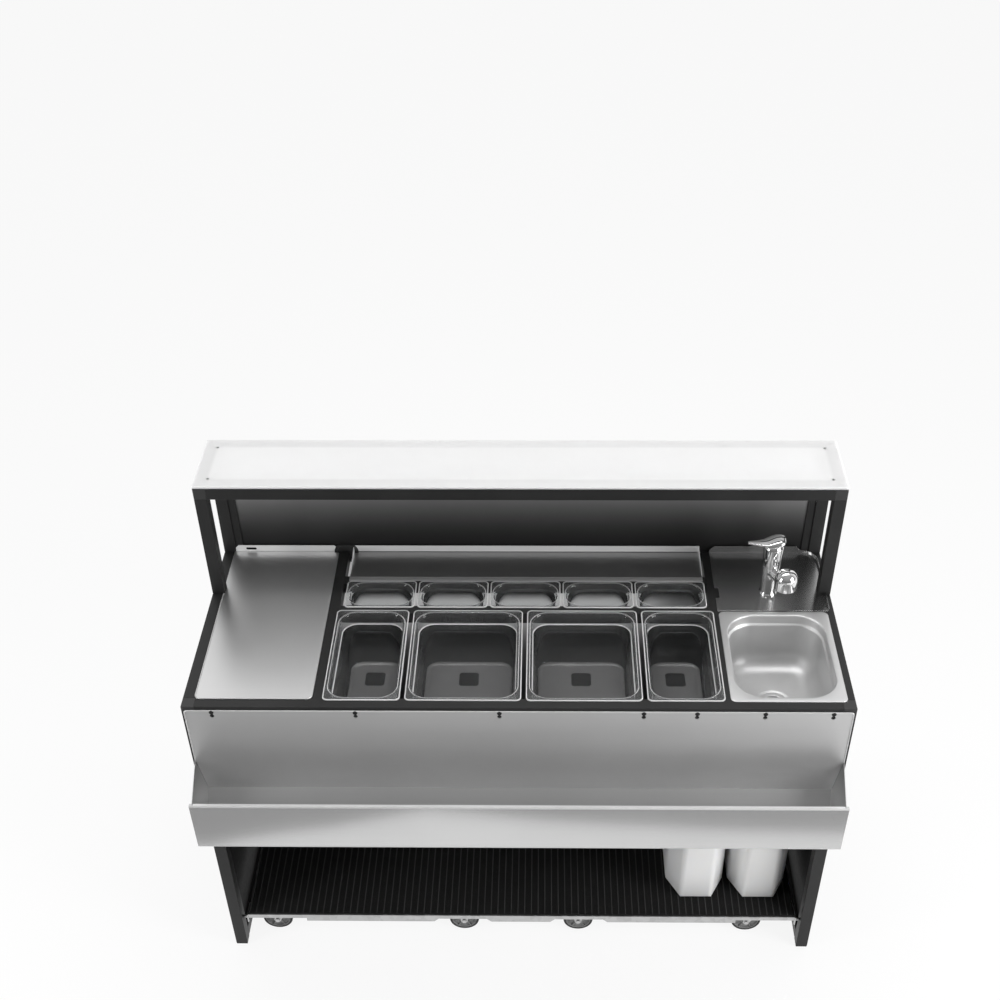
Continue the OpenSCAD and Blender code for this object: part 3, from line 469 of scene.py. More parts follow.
# painted shade: the filler's steel is a darker copy of the cover's steel
FILLER_PAINTED_SHADE_STEEL = worktop_steel("filler_steel_painted_shade", 0.30)
DECK_STEEL = brushed_steel("deck_steel", 0.40, 0.50, 0.22, 0.30, DECK_GRIND)
HEM_STEEL = brushed_steel("hem_steel", 0.60, 0.68, 0.40, 0.50, FINE_GRIND, 0.45)
LIP_STEEL = brushed_steel("lip_steel", 0.36, 0.44, 0.40, 0.50, FINE_GRIND, 0.60)
SINK_STEEL = pressed_steel()
CHROME = chrome_plate("tap_chrome", 0.68, 0.76, 0.02, 0.07)
# painted light: a paler copy of the tap's chrome, so that the spout reads brighter; it is also rougher
SPOUT_PAINTED_LIGHT_CHROME = chrome_plate("spout_chrome_painted_light", 0.86, 0.93, 0.07, 0.12)
GALVANISED = galvanised_sheet()
ZINC = zinc_plate()
BRASS = brass_metal()
OPAL = opal_slab()
ANTHRACITE = anthracite_panel()
MAT_RUBBER = ribbed_rubber()
TYRE = tyre_rubber()
HUB = moulded_plastic("hub_grey", 0.20, 0.28, 0.42, 0.58)
CLEAR = clear_plastic()
FROSTED = frosted_floor()
PAINTED_EDGE_HIGHLIGHT = painted_highlight_edge()
CAN_WHITE = blown_white("can_milk_white", 0.75, 0.82)
CAP_WHITE = blown_white("cap_white", 0.80, 0.86)


# Meshes


def new_object(name, bm):
    """Object at the origin, with the bmesh as its mesh."""
    mesh = bpy.data.meshes.new(name)
    bm.to_mesh(mesh)
    bm.free()
    made = bpy.data.objects.new(name, mesh)
    bpy.context.scene.collection.objects.link(made)
    return made


def finish_piece(name, bm, finishes, body, stands_for=()):
    """Turns a bmesh into a piece that rides on a body and stands for CAD nodes."""
    for face in bm.faces:
        face.smooth = True
    piece = new_object(name, bm)
    piece.data.set_sharp_from_angle(angle=SMOOTH_ANGLE)
    for finish in finishes:
        piece.data.materials.append(finish)
    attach(piece, body)
    if stands_for:
        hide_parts(*stands_for)
    return piece


def thicken(piece, thickness):
    """Gives an open shell its wall, behind the faces' front."""
    wall = piece.modifiers.new("wall", "SOLIDIFY")
    wall.thickness = thickness
    wall.offset = -1.0


def close_up(bm):
    """Merges doubled vertices and points the faces outwards."""
    bmesh.ops.remove_doubles(bm, verts=bm.verts, dist=MERGE)
    bmesh.ops.recalc_face_normals(bm, faces=bm.faces)


def round_off(bm, edges, radius, steps):
    """Rounds edges off; a single step is a chamfer."""
    bmesh.ops.bevel(
        bm, geom=edges, offset=radius, offset_type="OFFSET", segments=steps, profile=0.5, affect="EDGES",
        material=-1,
    )


Outline = namedtuple("Outline", "middle reach z corner finish")


def outline(low, high, section, finish=0):
    """Level outline inside a box: section is (let in, drop below the top, corner radius) in millimetres."""
    inset, drop, corner = section
    reach = (high - low).xy / 2 - Vector((1.0, 1.0)) * (inset + corner) * MM
    return Outline((low + high).xy / 2, reach, high.z - drop * MM, corner * MM, finish)


def quadrant(offset):
    """Signs of an offset, so the way to its corner of a rectangle."""
    return Vector((math.copysign(1.0, offset.x), math.copysign(1.0, offset.y)))


def round_loop(bm, shape):
    """Loop of edges along an outline, as many steps in each round corner."""
    turn = Matrix.Rotation(math.pi / (4 * CORNER_STEPS), 4, "Z")
    made = bmesh.ops.create_circle(bm, radius=shape.corner, segments=4 * CORNER_STEPS, matrix=turn)
    for vert in made["verts"]:
        place = shape.middle + quadrant(vert.co) * shape.reach + vert.co.xy
        vert.co = (*place, shape.z)
    return list({edge for vert in made["verts"] for edge in vert.link_edges})


def draw_on(bm, edges, old, new):
    """Extrudes a loop from one outline to the next."""
    made = bmesh.ops.extrude_edge_only(bm, edges=edges)["geom"]
    for vert in made:
        if isinstance(vert, bmesh.types.BMVert):
            offset = vert.co.xy - old.middle
            way = quadrant(offset)
            place = new.middle + way * new.reach + (offset - way * old.reach) * (new.corner / old.corner)
            vert.co = (*place, new.z)
    edges = [edge for edge in made if isinstance(edge, bmesh.types.BMEdge)]
    for edge in edges:
        edge.link_faces[0].material_index = new.finish
    return edges


def drawn_tub(bm, shapes):
    """Open tub drawn through outlines from its rim inwards; gives back its last loop."""
    edges = round_loop(bm, shapes[0])
    for old, new in zip(shapes, shapes[1:]):
        edges = draw_on(bm, edges, old, new)
    return edges


def face_up(bm):
    """Turns an open tub so that its inner side is its front."""
    bmesh.ops.recalc_face_normals(bm, faces=bm.faces)
    floor = min(bm.faces, key=lambda face: face.calc_center_median().z)
    if floor.normal.z < 0:
        bmesh.ops.reverse_faces(bm, faces=bm.faces)


def fillet(inset, drop, corner, radius, steps=6):
    """Sections of a round floor edge that starts at a wall's foot and ends level."""
    rows = []
    for step in range(1, steps + 1):
        turn = math.pi / 2 * step / steps
        shift = radius * (1 - math.cos(turn))
        rows.append((inset + shift, drop + radius * math.sin(turn), max(corner - shift, 6.0)))
    return rows


def lathe(bm, profile, centre, axis=UP, steps=TURN_STEPS):
    """Spins (radius, height) points in millimetres round an axis through a centre."""
    side = axis.orthogonal().normalized()
    verts = [bm.verts.new(centre + side * r * MM + axis * h * MM) for r, h in profile]
    edges = [bm.edges.new(pair) for pair in zip(verts, verts[1:])]
    bmesh.ops.spin(
        bm, geom=verts + edges, cent=centre, axis=axis, angle=2 * math.pi, steps=steps, use_merge=True,
        use_duplicate=False,
    )


def arc(centre_r, centre_h, radius, start, end, steps=6):
    """Points of a profile's round stretch, from one angle in degrees to another."""
    turns = [math.radians(start + (end - start) * step / steps) for step in range(steps + 1)]
    return [(centre_r + radius * math.cos(turn), centre_h + radius * math.sin(turn)) for turn in turns]


def section_at(centre, across, up, ahead):
    """Place of a round section: the two half-axes of its outline, and the way that it faces."""
    place = Matrix((across, up, ahead)).transposed().to_4x4()
    place.translation = centre
    return place


def loft(bm, places, segments):
    """Closed body through round sections, each the matrix that places a unit circle."""
    made = bmesh.ops.create_circle(bm, cap_ends=True, radius=1.0, segments=segments, matrix=places[0])
    edges = list({edge for vert in made["verts"] for edge in vert.link_edges})
    for old, new in zip(places, places[1:]):
        made = bmesh.ops.extrude_edge_only(bm, edges=edges)["geom"]
        edges = [item for item in made if isinstance(item, bmesh.types.BMEdge)]
        verts = [item for item in made if isinstance(item, bmesh.types.BMVert)]
        bmesh.ops.transform(bm, matrix=new @ old.inverted(), verts=verts)
    bmesh.ops.contextual_create(bm, geom=edges)


def block(bm, low, high, edge, steps=2, place=Matrix()):
    """Box between two corners, its edges rounded."""
    shape = Matrix.Translation((low + high) / 2) @ Matrix.Diagonal((*(high - low), 1.0))
    made = bmesh.ops.create_cube(bm, size=1.0, matrix=place @ shape)
    edges = list({e for vert in made["verts"] for e in vert.link_edges})
    round_off(bm, edges, edge, steps)


def paint(bm, index):
    """Gives the faces made so far a material slot."""
    for face in bm.faces:
        face.material_index = index


# CAD nodes that keep their shape


def dress(node, finish, edge):
    """Gives a CAD node its finish, joins its triangles into flat faces and breaks its edges."""
    solid = frame["nodes"][node]
    solid.data.materials.clear()
    solid.data.materials.append(finish)
    weld = solid.modifiers.new("join", "WELD")
    weld.merge_threshold = MERGE
    flat = solid.modifiers.new("flat_faces", "DECIMATE")
    flat.decimate_type = "DISSOLVE"
    flat.angle_limit = math.radians(1.0)
    rounding = solid.modifiers.new("broken_edges", "BEVEL")
    rounding.width = edge
    rounding.segments = 2
    rounding.limit_method = "ANGLE"
    rounding.angle_limit = math.radians(40)


for node in ("front_legs", "rear_legs", "worktop_beams", "bay_dividers", "pan_crossbars", "floor_rails",
             "counter_uprights", "counter_beams"):
    dress(node, BLACK_COAT, 1.2 * MM)
for node, finish, edge in (
    ("corner_connectors", CONNECTOR, 1.0 * MM),
    ("foot_pads", RUBBER_FOOT, 0.8 * MM),
    ("counter_slab", OPAL, 0.8 * MM),
    ("rear_panel_upper", ANTHRACITE, 0.4 * MM),
    ("panel_strips", BLACK_COAT, 0.5 * MM),
    ("rear_panel_lower", REAR_SHEET, 0.3 * MM),
    ("side_panels", SIDE_BOARD, 0.5 * MM),
    ("work_cover", COVER_STEEL, 0.4 * MM),
    ("rear_filler", FILLER_PAINTED_SHADE_STEEL, 0.4 * MM),
    ("sink_deck", DECK_STEEL, 0.4 * MM),
    ("speed_rail", RAIL_STEEL, 0.4 * MM),
    ("tap_locknut", BRASS, 0.5 * MM),
    ("shelf_tray", GALVANISED, 0.4 * MM),
    ("shelf_hooks", ZINC, 0.4 * MM),
    ("hook_pins", ZINC, 0.4 * MM),
    ("castor_plates", ZINC, 0.4 * MM),
    ("fixed_forks", ZINC, 0.4 * MM),
):
    dress(node, finish, edge)
for end in ("front", "rear"):
    for side in ("left", "right"):
        dress(f"swivel_fork_{end}_{side}", ZINC, 0.4 * MM)


# Clear pans

PAN_WALL = 2.4 * MM
WINDOW = Vector((48.0, 50.0)) * MM
WINDOW_CORNER = 8.0 * MM
WINDOW_BACK = 76.0 * MM
# material slots of a pan; the third is the painted highlight on its edges and beads
CLEAR_PART, FROSTED_PART, PAINTED_HIGHLIGHT_PART = range(3)
FROST_ROW = 3


def pan_sections(mouth, neck, corner, shoulder, floor, draft, floor_r, ledge, floor_part):
    """Rim with a skirt, bead round the mouth, neck, shoulder, drafted wall and round floor edge of a pan."""
    lip = [
        (0.0, 3.0, 12.0, CLEAR_PART), (0.0, 1.2, 12.0, PAINTED_HIGHLIGHT_PART), (0.35, 0.4, 11.7, PAINTED_HIGHLIGHT_PART),
        (1.2, 0.0, 11.0, PAINTED_HIGHLIGHT_PART), (2.4, 0.1, 10.2, PAINTED_HIGHLIGHT_PART), (3.0, 0.9, 9.8, CLEAR_PART),
    ]
    bead = [
        (mouth - 0.9, 0.9, corner + 5.0, CLEAR_PART), (mouth - 0.4, 0.3, corner + 4.6, CLEAR_PART),
        (mouth + 0.5, 0.3, corner + 4.0, PAINTED_HIGHLIGHT_PART), (mouth + 1.3, 1.1, corner + 3.2, CLEAR_PART),
        (neck - 1.0, 3.4, corner + 0.8, CLEAR_PART), (neck, 6.4, corner, CLEAR_PART),
    ]
    step = [
        (neck + 0.1, shoulder - 2.2, corner, CLEAR_PART),
        (neck + 0.5, shoulder - 0.7, corner - 0.4, CLEAR_PART),
        (neck + 1.5, shoulder, corner - 1.4, ledge),
        (neck + 2.6, shoulder + 0.5, corner - 2.4, ledge),
        (neck + 3.0, shoulder + 1.8, corner - 3.0, CLEAR_PART),
    ]
    foot = (neck + 3.0 + draft, floor - floor_r, corner - 4.0)
    round_edge = [(*row, CLEAR_PART) for row in fillet(*foot, floor_r)]
    scuffed = [(*row[:3], floor_part) for row in round_edge[FROST_ROW:]]
    return lip + bead + step + [(*foot, CLEAR_PART)] + round_edge[:FROST_ROW] + scuffed


def clear_pan(node, sections, window):
    """Thin clear shell with a frosted floor, and a clear window in the floor of a large pan."""
    low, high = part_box(node)
    bm = bmesh.new()
    shapes = [outline(low, high, section[:3], section[3]) for section in sections]
    if window:
        reach = WINDOW / 2 - Vector((1.0, 1.0)) * WINDOW_CORNER
        middle = shapes[0].middle + Vector((0.0, WINDOW_BACK))
        shapes.append(Outline(middle, reach, shapes[-1].z, WINDOW_CORNER, FROSTED_PART))
    last = drawn_tub(bm, shapes)
    floor = bmesh.ops.contextual_create(bm, geom=last)["faces"]
    floor[0].material_index = CLEAR_PART
    face_up(bm)
    piece = finish_piece(f"{node}_shell", bm, (CLEAR, FROSTED, PAINTED_EDGE_HIGHLIGHT), node, (node,))
    thicken(piece, PAN_WALL)


FRONT_PAN = pan_sections(
    mouth=7.6, neck=12.8, corner=39.5, shoulder=33.0, floor=147.4, draft=7.0, floor_r=16.0,
    ledge=PAINTED_HIGHLIGHT_PART, floor_part=FROSTED_PART,
)
NINTH_PAN = pan_sections(
    mouth=6.4, neck=11.6, corner=35.0, shoulder=14.0, floor=62.4, draft=2.4, floor_r=6.0,
    ledge=CLEAR_PART, floor_part=CLEAR_PART,
)
for name in ("third_left", "half_left", "half_right", "third_right"):
    clear_pan(f"pan_{name}", FRONT_PAN, True)
for number in range(1, 6):
    clear_pan(f"pan_ninth_{number}", NINTH_PAN, False)


# Sink and drain

SINK_NECK = 16.5
SINK_CORNER = 68.0
SINK_SHOULDER = 24.0
SINK_FOOT_R = 42.0
SINK_WALL = 1.2 * MM
DRAIN_R = 34.0
DRAIN_SPOKES = 4


def sink_shell():
    """Pressed bowl: flat rim, round lip, neck, shoulder bead, wall and floor falling to the drain."""
    low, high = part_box("sink_bowl")
    drain_low, drain_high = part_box("sink_drain")
    middle = (drain_low + drain_high) / 2
    rim = [(0.0, 3.0, 14.0), (0.25, 1.9, 13.8), (0.9, 0.85, 13.2), (2.0, 0.2, 12.2), (3.2, 0.0, 11.0)]
    neck = SINK_NECK
    lip = [(neck - 4.0, 0.0, SINK_CORNER + 3.6), (neck - 1.8, 0.5, SINK_CORNER + 1.8)]
    lip += [(neck - 0.4, 2.0, SINK_CORNER + 0.4), (neck, 4.5, SINK_CORNER)]
    bead = [
        (neck + 0.4, SINK_SHOULDER - 3.0, SINK_CORNER - 0.4),
        (neck + 1.2, SINK_SHOULDER - 0.8, SINK_CORNER - 1.2),
        (neck + 3.4, SINK_SHOULDER + 0.8, SINK_CORNER - 3.0),
        (neck + 5.0, SINK_SHOULDER + 2.6, SINK_CORNER - 4.4),
        (neck + 5.4, SINK_SHOULDER + 5.0, SINK_CORNER - 4.8),
    ]
    depth = (high.z - drain_high.z) / MM
    foot = (neck + 7.5, depth - SINK_FOOT_R - 2.0, SINK_CORNER - 6.5)
    sections = rim + lip + bead + [foot] + fillet(*foot, SINK_FOOT_R, 8)
    shapes = [outline(low, high, section) for section in sections]
    for radius, rise in (
        (DRAIN_R + 9.0, 0.9), (DRAIN_R + 5.0, 0.2), (DRAIN_R + 2.0, -1.6), (DRAIN_R - 2.0, -1.9), (26.0, -1.9)
    ):
        seat = drain_high.z + (rise - 0.6) * MM
        shapes.append(Outline(middle.xy, Vector((0.0, 0.0)), seat, radius * MM, 0))
    bm = bmesh.new()
    drawn_tub(bm, shapes)
    face_up(bm)
    piece = finish_piece("sink_bowl_shell", bm, (SINK_STEEL,), "unit", ("sink_bowl",))
    thicken(piece, SINK_WALL)


def drain_fitting():
    """Strainer ring with spokes, clamp nut and tail pipe."""
    low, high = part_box("sink_drain")
    centre = Vector(((low.x + high.x) / 2, (low.y + high.y) / 2, high.z))
    length = (high.z - low.z) / MM
    bm = bmesh.new()
    ring = [(18.0, -9.0), (21.0, -4.0)] + arc(24.0, -3.0, 3.0, 180, 90, 4)
    ring += [(31.0, 0.0)] + arc(32.5, -1.5, 1.5, 90, 0, 3) + [(34.0, -2.0), (25.5, -2.0), (25.5, -4.0)]
    nut = [(33.0, -4.4), (33.0, -15.0), (20.0, -15.6)]
    pipe = [(20.0, -length + 1.0), (19.5, -length), (18.0, -length), (18.0, -9.0)]
    lathe(bm, ring + nut + pipe, centre)
    close_up(bm)
    for index in range(DRAIN_SPOKES):
        place = Matrix.Translation(centre) @ Matrix.Rotation(math.pi * index / DRAIN_SPOKES, 4, "Z")
        block(bm, Vector((-19.5, -1.6, -8.5)) * MM, Vector((19.5, 1.6, -5.5)) * MM, 0.5 * MM, 2, place)
    button = [(0.0, -4.6)] + arc(4.0, -5.6, 1.0, 90, 0, 3) + [(5.0, -9.0), (0.0, -9.0)]
    lathe(bm, button, centre, steps=24)
    close_up(bm)
    finish_piece("sink_drain_fitting", bm, (SINK_STEEL,), "unit", ("sink_drain",))


sink_shell()
drain_fitting()


# Tap

TAP_GAP = 0.4
COLLAR_H = 34.0
SPOUT_TURN = math.radians(25)
SPOUT_REACH = 67.0
BULB_R = 27.0
BULB_H = 51.0
BULB_DROP = 7.0
LEVER_DOME = 10.0
SPOUT_SECTIONS = (
    (13.0, 0.0, 17.5, 14.5), (20.0, 0.6, 15.8, 13.6), (30.0, 1.2, 14.6, 12.8), (42.0, 1.9, 14.6, 13.0),
    (54.0, 2.6, 15.5, 14.0),
)
LEVER_SECTIONS = (
    (26.0, 23.0, 17.5, 5.0), (25.0, 25.6, 12.0, 12.0), (21.5, 27.2, 6.0, 18.6), (14.0, 27.4, 2.0, 22.6),
    (4.0, 26.0, 0.9, 24.2), (-6.0, 22.6, 0.9, 23.6), (-15.0, 18.4, 1.8, 20.6), (-24.0, 15.0, 4.6, 15.5),
    (-36.0, 13.4, 6.2, 11.5), (-48.0, 12.9, 6.7, 9.0), (-57.0, 13.1, 7.4, 7.2), (-61.5, 12.8, 8.6, 5.2),
    (-63.0, 11.8, 9.8, 2.6),
)


def joint_point(name):
    """A point on a joint's axis."""
    joint = next(joint for joint in frame["joints"] if joint["name"] == name)
    return Vector(joint["pos_m"])


TAP_PIVOT = joint_point("lever_lift")
TAP_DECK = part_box("sink_deck")[0].z + SHEET
TAP_FOOT = Vector((TAP_PIVOT.x, TAP_PIVOT.y, TAP_DECK))
CAP_LOW, CAP_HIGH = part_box("tap_cap")
CAP_START = (CAP_LOW.z - TAP_DECK) / MM
CAP_DOME_R = (CAP_HIGH.z - TAP_PIVOT.z) / MM
COLUMN_TOP = TAP_PIVOT.z + LEVER_DOME * MM
COLUMN_H = (COLUMN_TOP - TAP_DECK) / MM
COLLAR_START = CAP_START - TAP_GAP - COLLAR_H
COLLAR_END = COLLAR_START + COLLAR_H


def column_r(height):
    """Radius of the tapered column at a height over the deck."""
    return 18.0 + 6.0 * height / COLUMN_H


def tap_column():
    """Inlet tail, shank, flange and column up to the collar, with the spigot that the collar turns on."""
    shank = [(0.0, -92.0), (6.8, -92.0), (7.5, -91.2), (7.5, -62.6), (9.8, -62.0), (10.5, -61.0), (10.5, 0.0)]
    flange = [(21.5, 0.0)] + arc(20.5, 1.5, 1.5, -40, 60, 5) + [(19.6, 4.2), (18.9, 6.5), (18.7, 10.0)]
    top = COLLAR_START - TAP_GAP
    column = [(column_r(COLLAR_START - 0.7), COLLAR_START - 0.7), (column_r(COLLAR_START) - 0.3, top)]
    spigot = [(12.0, top), (12.0, COLLAR_END + 7.0), (0.0, COLLAR_END + 7.0)]
    bm = bmesh.new()
    lathe(bm, shank + flange + column + spigot, TAP_FOOT)
    close_up(bm)
    finish_piece("tap_column", bm, (CHROME,), "unit", ("tap_body",))


def tap_spout():
    """Turning collar, neck and bulb of the spout, with the outlet under the bulb."""
    low_r, high_r = column_r(COLLAR_START), column_r(COLLAR_END)
    ring = [(12.2, COLLAR_START), (low_r - 0.3, COLLAR_START), (low_r, COLLAR_START + 0.3)]
    ring += [(high_r, COLLAR_END - 0.3), (high_r - 0.3, COLLAR_END), (12.2, COLLAR_END), (12.2, COLLAR_START)]
    bm = bmesh.new()
    lathe(bm, ring, TAP_FOOT)
    close_up(bm)
    ahead = Vector((math.sin(SPOUT_TURN), -math.cos(SPOUT_TURN), 0.0))
    side = ahead.cross(UP)
    neck = TAP_FOOT + UP * (COLLAR_START + COLLAR_H / 2) * MM
    places = []
    for reach, rise, wide, high in SPOUT_SECTIONS:
        centre = neck + ahead * reach * MM + UP * rise * MM
        places.append(section_at(centre, side * wide * MM, UP * high * MM, ahead))
    loft(bm, places, 32)
    outlet = [(0.0, 12.0), (10.4, 12.0), (11.0, 11.4), (11.0, 1.0), (12.0, 0.0), (25.6, 0.0), (27.0, 1.4)]
    dome = arc(0.0, BULB_H - BULB_R, BULB_R, 0, 90, 14)
    lathe(bm, outlet + dome, neck + ahead * SPOUT_REACH * MM - UP * BULB_DROP * MM)
    close_up(bm)
    finish_piece("tap_spout_shell", bm, (SPOUT_PAINTED_LIGHT_CHROME,), "tap_spout", ("tap_spout",))


def tap_cap():
    """Mixer cap over the collar, with the ball that the lever sits on."""
    start_r = column_r(CAP_START)
    socket = [(0.0, CAP_START + 7.6), (12.2, CAP_START + 7.6), (12.2, CAP_START)]
    wall = [(start_r - 0.3, CAP_START), (start_r, CAP_START + 0.3), (23.9, COLUMN_H - 0.6)]
    ball = arc(0.0, COLUMN_H - LEVER_DOME, CAP_DOME_R, 24, 90, 12)
    bm = bmesh.new()
    lathe(bm, socket + wall + ball, TAP_FOOT)
    close_up(bm)
    finish_piece("tap_cap_shell", bm, (CHROME,), "tap_cap", ("tap_cap",))


def hollow_out(piece, centre, radius):
    """Cuts a ball out of a piece, and keeps the result as its mesh."""
    bm = bmesh.new()
    place = Matrix.Translation(centre)
    bmesh.ops.create_uvsphere(bm, u_segments=48, v_segments=24, radius=radius * MM, matrix=place)
    ball = new_object("ball", bm)
    ball_mesh = ball.data
    cut = piece.modifiers.new("cut", "BOOLEAN")
    cut.operation = "DIFFERENCE"
    cut.solver = "EXACT"
    cut.object = ball
    result = bpy.data.meshes.new_from_object(piece.evaluated_get(bpy.context.evaluated_depsgraph_get()))
    piece.modifiers.clear()
    piece.data = result
    result.set_sharp_from_angle(angle=SMOOTH_ANGLE)
    bpy.data.objects.remove(ball)
    bpy.data.meshes.remove(ball_mesh)


def tap_lever():
    """Lever: a hood over the cap's ball that runs out into a flat handle."""
    places = []
    for x, top, bottom, half in LEVER_SECTIONS:
        centre = Vector((TAP_PIVOT.x + x * MM, TAP_PIVOT.y, COLUMN_TOP + (top + bottom) / 2 * MM))
        across = Vector((0.0, half * MM, 0.0))
        places.append(section_at(centre, across, UP * (top - bottom) / 2 * MM, Vector((1.0, 0.0, 0.0))))
    bm = bmesh.new()
    loft(bm, places, 40)
    close_up(bm)
    lever = finish_piece("tap_lever_shell", bm, (CHROME,), "tap_lever", ("tap_lever",))
    hollow_out(lever, TAP_PIVOT, CAP_DOME_R + TAP_GAP)


tap_column()
tap_spout()
tap_cap()
tap_lever()


# Wheels

WHEEL_AXIS = Vector((0.0, 1.0, 0.0))
WHEEL_HALF = 12.0
WHEEL_STEPS = 56
TYRE_DEPTH = 6.0
TREAD_R = 3.6
HUB_RIBS = 6
HUB_PART = 1


def castor_wheel(node):
    """Rubber tyre with a rounded tread on a dished hub with ribs and a boss."""
    low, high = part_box(node)
    centre = (low + high) / 2
    radius = (high.z - low.z) / 2 / MM
    rim = radius - TYRE_DEPTH
    bm = bmesh.new()
    face = [(4.1, 12.6), (8.4, 12.6), (9.0, 12.0), (9.2, 7.0), (11.0, 5.6)]
    face += [(rim - 5.0, 5.6), (rim - 3.0, 6.6), (rim - 2.2, 10.4), (rim - 0.3, 10.8)]
    back = [(r, -h) for r, h in reversed(face)]
    lathe(bm, face + back + face[:1], centre, WHEEL_AXIS, WHEEL_STEPS)
    for index in range(HUB_RIBS):
        place = Matrix.Translation(centre) @ Matrix.Rotation(2 * math.pi * index / HUB_RIBS, 4, "Y")
        for way in (-1, 1):
            low_end = Vector((8.4, way * 7.4 - 2.4, -1.2)) * MM
            high_end = Vector((rim - 2.4, way * 7.4 + 2.4, 1.2)) * MM
            block(bm, low_end, high_end, 0.5 * MM, 2, place)
    paint(bm, HUB_PART)
    side = [(rim, 1.0 - WHEEL_HALF), (rim + 1.5, -WHEEL_HALF)]
    side += arc(radius - TREAD_R, TREAD_R - WHEEL_HALF, TREAD_R, -90, 0, 5)
    tread = side + [(r, -h) for r, h in reversed(side)] + side[:1]
    lathe(bm, tread, centre, WHEEL_AXIS, WHEEL_STEPS)
    close_up(bm)
    finish_piece(f"{node}_tyred", bm, (TYRE, HUB), node, (node,))


for kind in ("swivel", "fixed"):
    for end in ("front", "rear"):
        for side in ("left", "right"):
            castor_wheel(f"{kind}_wheel_{end}_{side}")


# Cans

CHAMFER_X = 35.0
CHAMFER_Y = 66.0
CAN_TOP_R = 16.0 * MM
CAN_BASE_R = 7.0 * MM
CAN_CORNER_R = 11.0 * MM
CAN_CORNER_TURN = math.radians(20)
CAN_CORNER_LEAST = 20.0 * MM
THREAD_TURNS = 3
THREAD_PITCH = 4.5
CAP_RIDGES = 36


def rise_of(edge):
    """Difference in height between an edge's ends."""
    return abs(edge.verts[0].co.z - edge.verts[1].co.z)


def can_body(side):
    """Blow-moulded can: chamfered plan, soft edges and a threaded neck."""
    node = f"can_{side}"
    low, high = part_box(node)
    cap_low, cap_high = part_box(f"can_cap_{side}")
    mouth = (cap_low + cap_high) / 2
    shoulder = cap_low.z - 0.3 * MM
    stretch = CHAMFER_Y / CHAMFER_X
    bm = bmesh.new()
    size = Vector(((high.x - low.x) * stretch, high.y - low.y, shoulder - low.z))
    bmesh.ops.create_cube(bm, size=1.0, matrix=Matrix.Diagonal((*size, 1.0)))
    round_off(bm, [e for e in bm.edges if rise_of(e) > size.z / 2], CHAMFER_Y * MM, 1)
    bmesh.ops.scale(bm, vec=(1 / stretch, 1.0, 1.0), verts=bm.verts)
    top = [e for e in bm.edges if min(v.co.z for v in e.verts) > size.z / 2 - MERGE]
    round_off(bm, top, CAN_TOP_R, 5)
    base = [e for e in bm.edges if max(v.co.z for v in e.verts) < MERGE - size.z / 2]
    round_off(bm, base, CAN_BASE_R, 3)
    upright = [e for e in bm.edges if rise_of(e) > CAN_CORNER_LEAST]
    corners = [e for e in upright if e.calc_face_angle(0.0) > CAN_CORNER_TURN]
    round_off(bm, corners, CAN_CORNER_R, 5)
    middle = Vector(((low.x + high.x) / 2, (low.y + high.y) / 2, (low.z + shoulder) / 2))
    bmesh.ops.translate(bm, vec=middle, verts=bm.verts)
    close_up(bm)
    neck = [(0.0, 2.0), (21.0, 2.0), (21.0, 19.4), (21.6, 20.0), (24.0, 20.0), (24.6, 19.0)]
    for turn in range(THREAD_TURNS):
        crest = 15.0 - THREAD_PITCH * turn
        neck += [(23.6, crest + 1.5), (25.0, crest), (23.6, crest - 1.5)]
    neck += [(23.6, 2.0), (29.0, 0.0), (29.0, -1.0)]
    start = len(bm.faces)
    lathe(bm, neck, Vector((mouth.x, mouth.y, shoulder)), steps=48)
    bmesh.ops.remove_doubles(bm, verts=bm.verts, dist=MERGE)
    bm.faces.ensure_lookup_table()
    bmesh.ops.recalc_face_normals(bm, faces=bm.faces[start:])
    finish_piece(f"{node}_blown", bm, (CAN_WHITE,), node, (node,))


def can_cap(side):
    """Screw cap: a skirt with grip ridges and a crown that is let in."""
    node = f"can_cap_{side}"
    low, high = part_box(node)
    mouth = (low + high) / 2
    height = (high.z - low.z) / MM
    outer = (high.x - low.x) / 2 / MM
    skirt = [(outer - 3.0, 0.0), (outer - 0.5, 0.0), (outer - 0.5, height - 2.0)]
    crown = arc(outer - 2.5, height - 2.0, 2.0, 0, 90, 4)
    crown += [(outer - 9.0, height), (outer - 10.0, height - 0.8)]
    inner = [(0.0, height - 0.8), (0.0, height - 3.0), (outer - 3.0, height - 3.0), (outer - 3.0, 0.0)]
    bm = bmesh.new()
    lathe(bm, skirt + crown + inner, Vector((mouth.x, mouth.y, low.z)), steps=2 * CAP_RIDGES)
    close_up(bm)

    def offset(face):
        return face.calc_center_median().xy - mouth.xy

    grip = [f for f in bm.faces if f.calc_area() > 10 * MM * MM and abs(f.normal.z) < 0.1
            and offset(f).length > (outer - 1.5) * MM]
    grip.sort(key=lambda f: math.atan2(offset(f).y, offset(f).x))
    bmesh.ops.inset_individual(bm, faces=grip[::2], thickness=0.25 * MM, depth=0.5 * MM, use_even_offset=True)
    finish_piece(f"{node}_ridged", bm, (CAP_WHITE,), node, (node,))


for side in ("left", "right"):
    can_body(side)
    can_cap(side)


# Mat, studs, screws, grommet and sheet edges

MAT_PITCH = 17.5 * MM
MAT_RIBS = 7
STUD_SPACE = 20
SLAB_SCREW = Vector((32.0, 34.0)) * MM
STRIP_SCREW = Vector((9.5, 28.0)) * MM
RAIL_EDGE_END = 694.0 * MM
RAIL_FRONT_TOP = 655.0 * MM
COVER_CORNER = 14.0 * MM


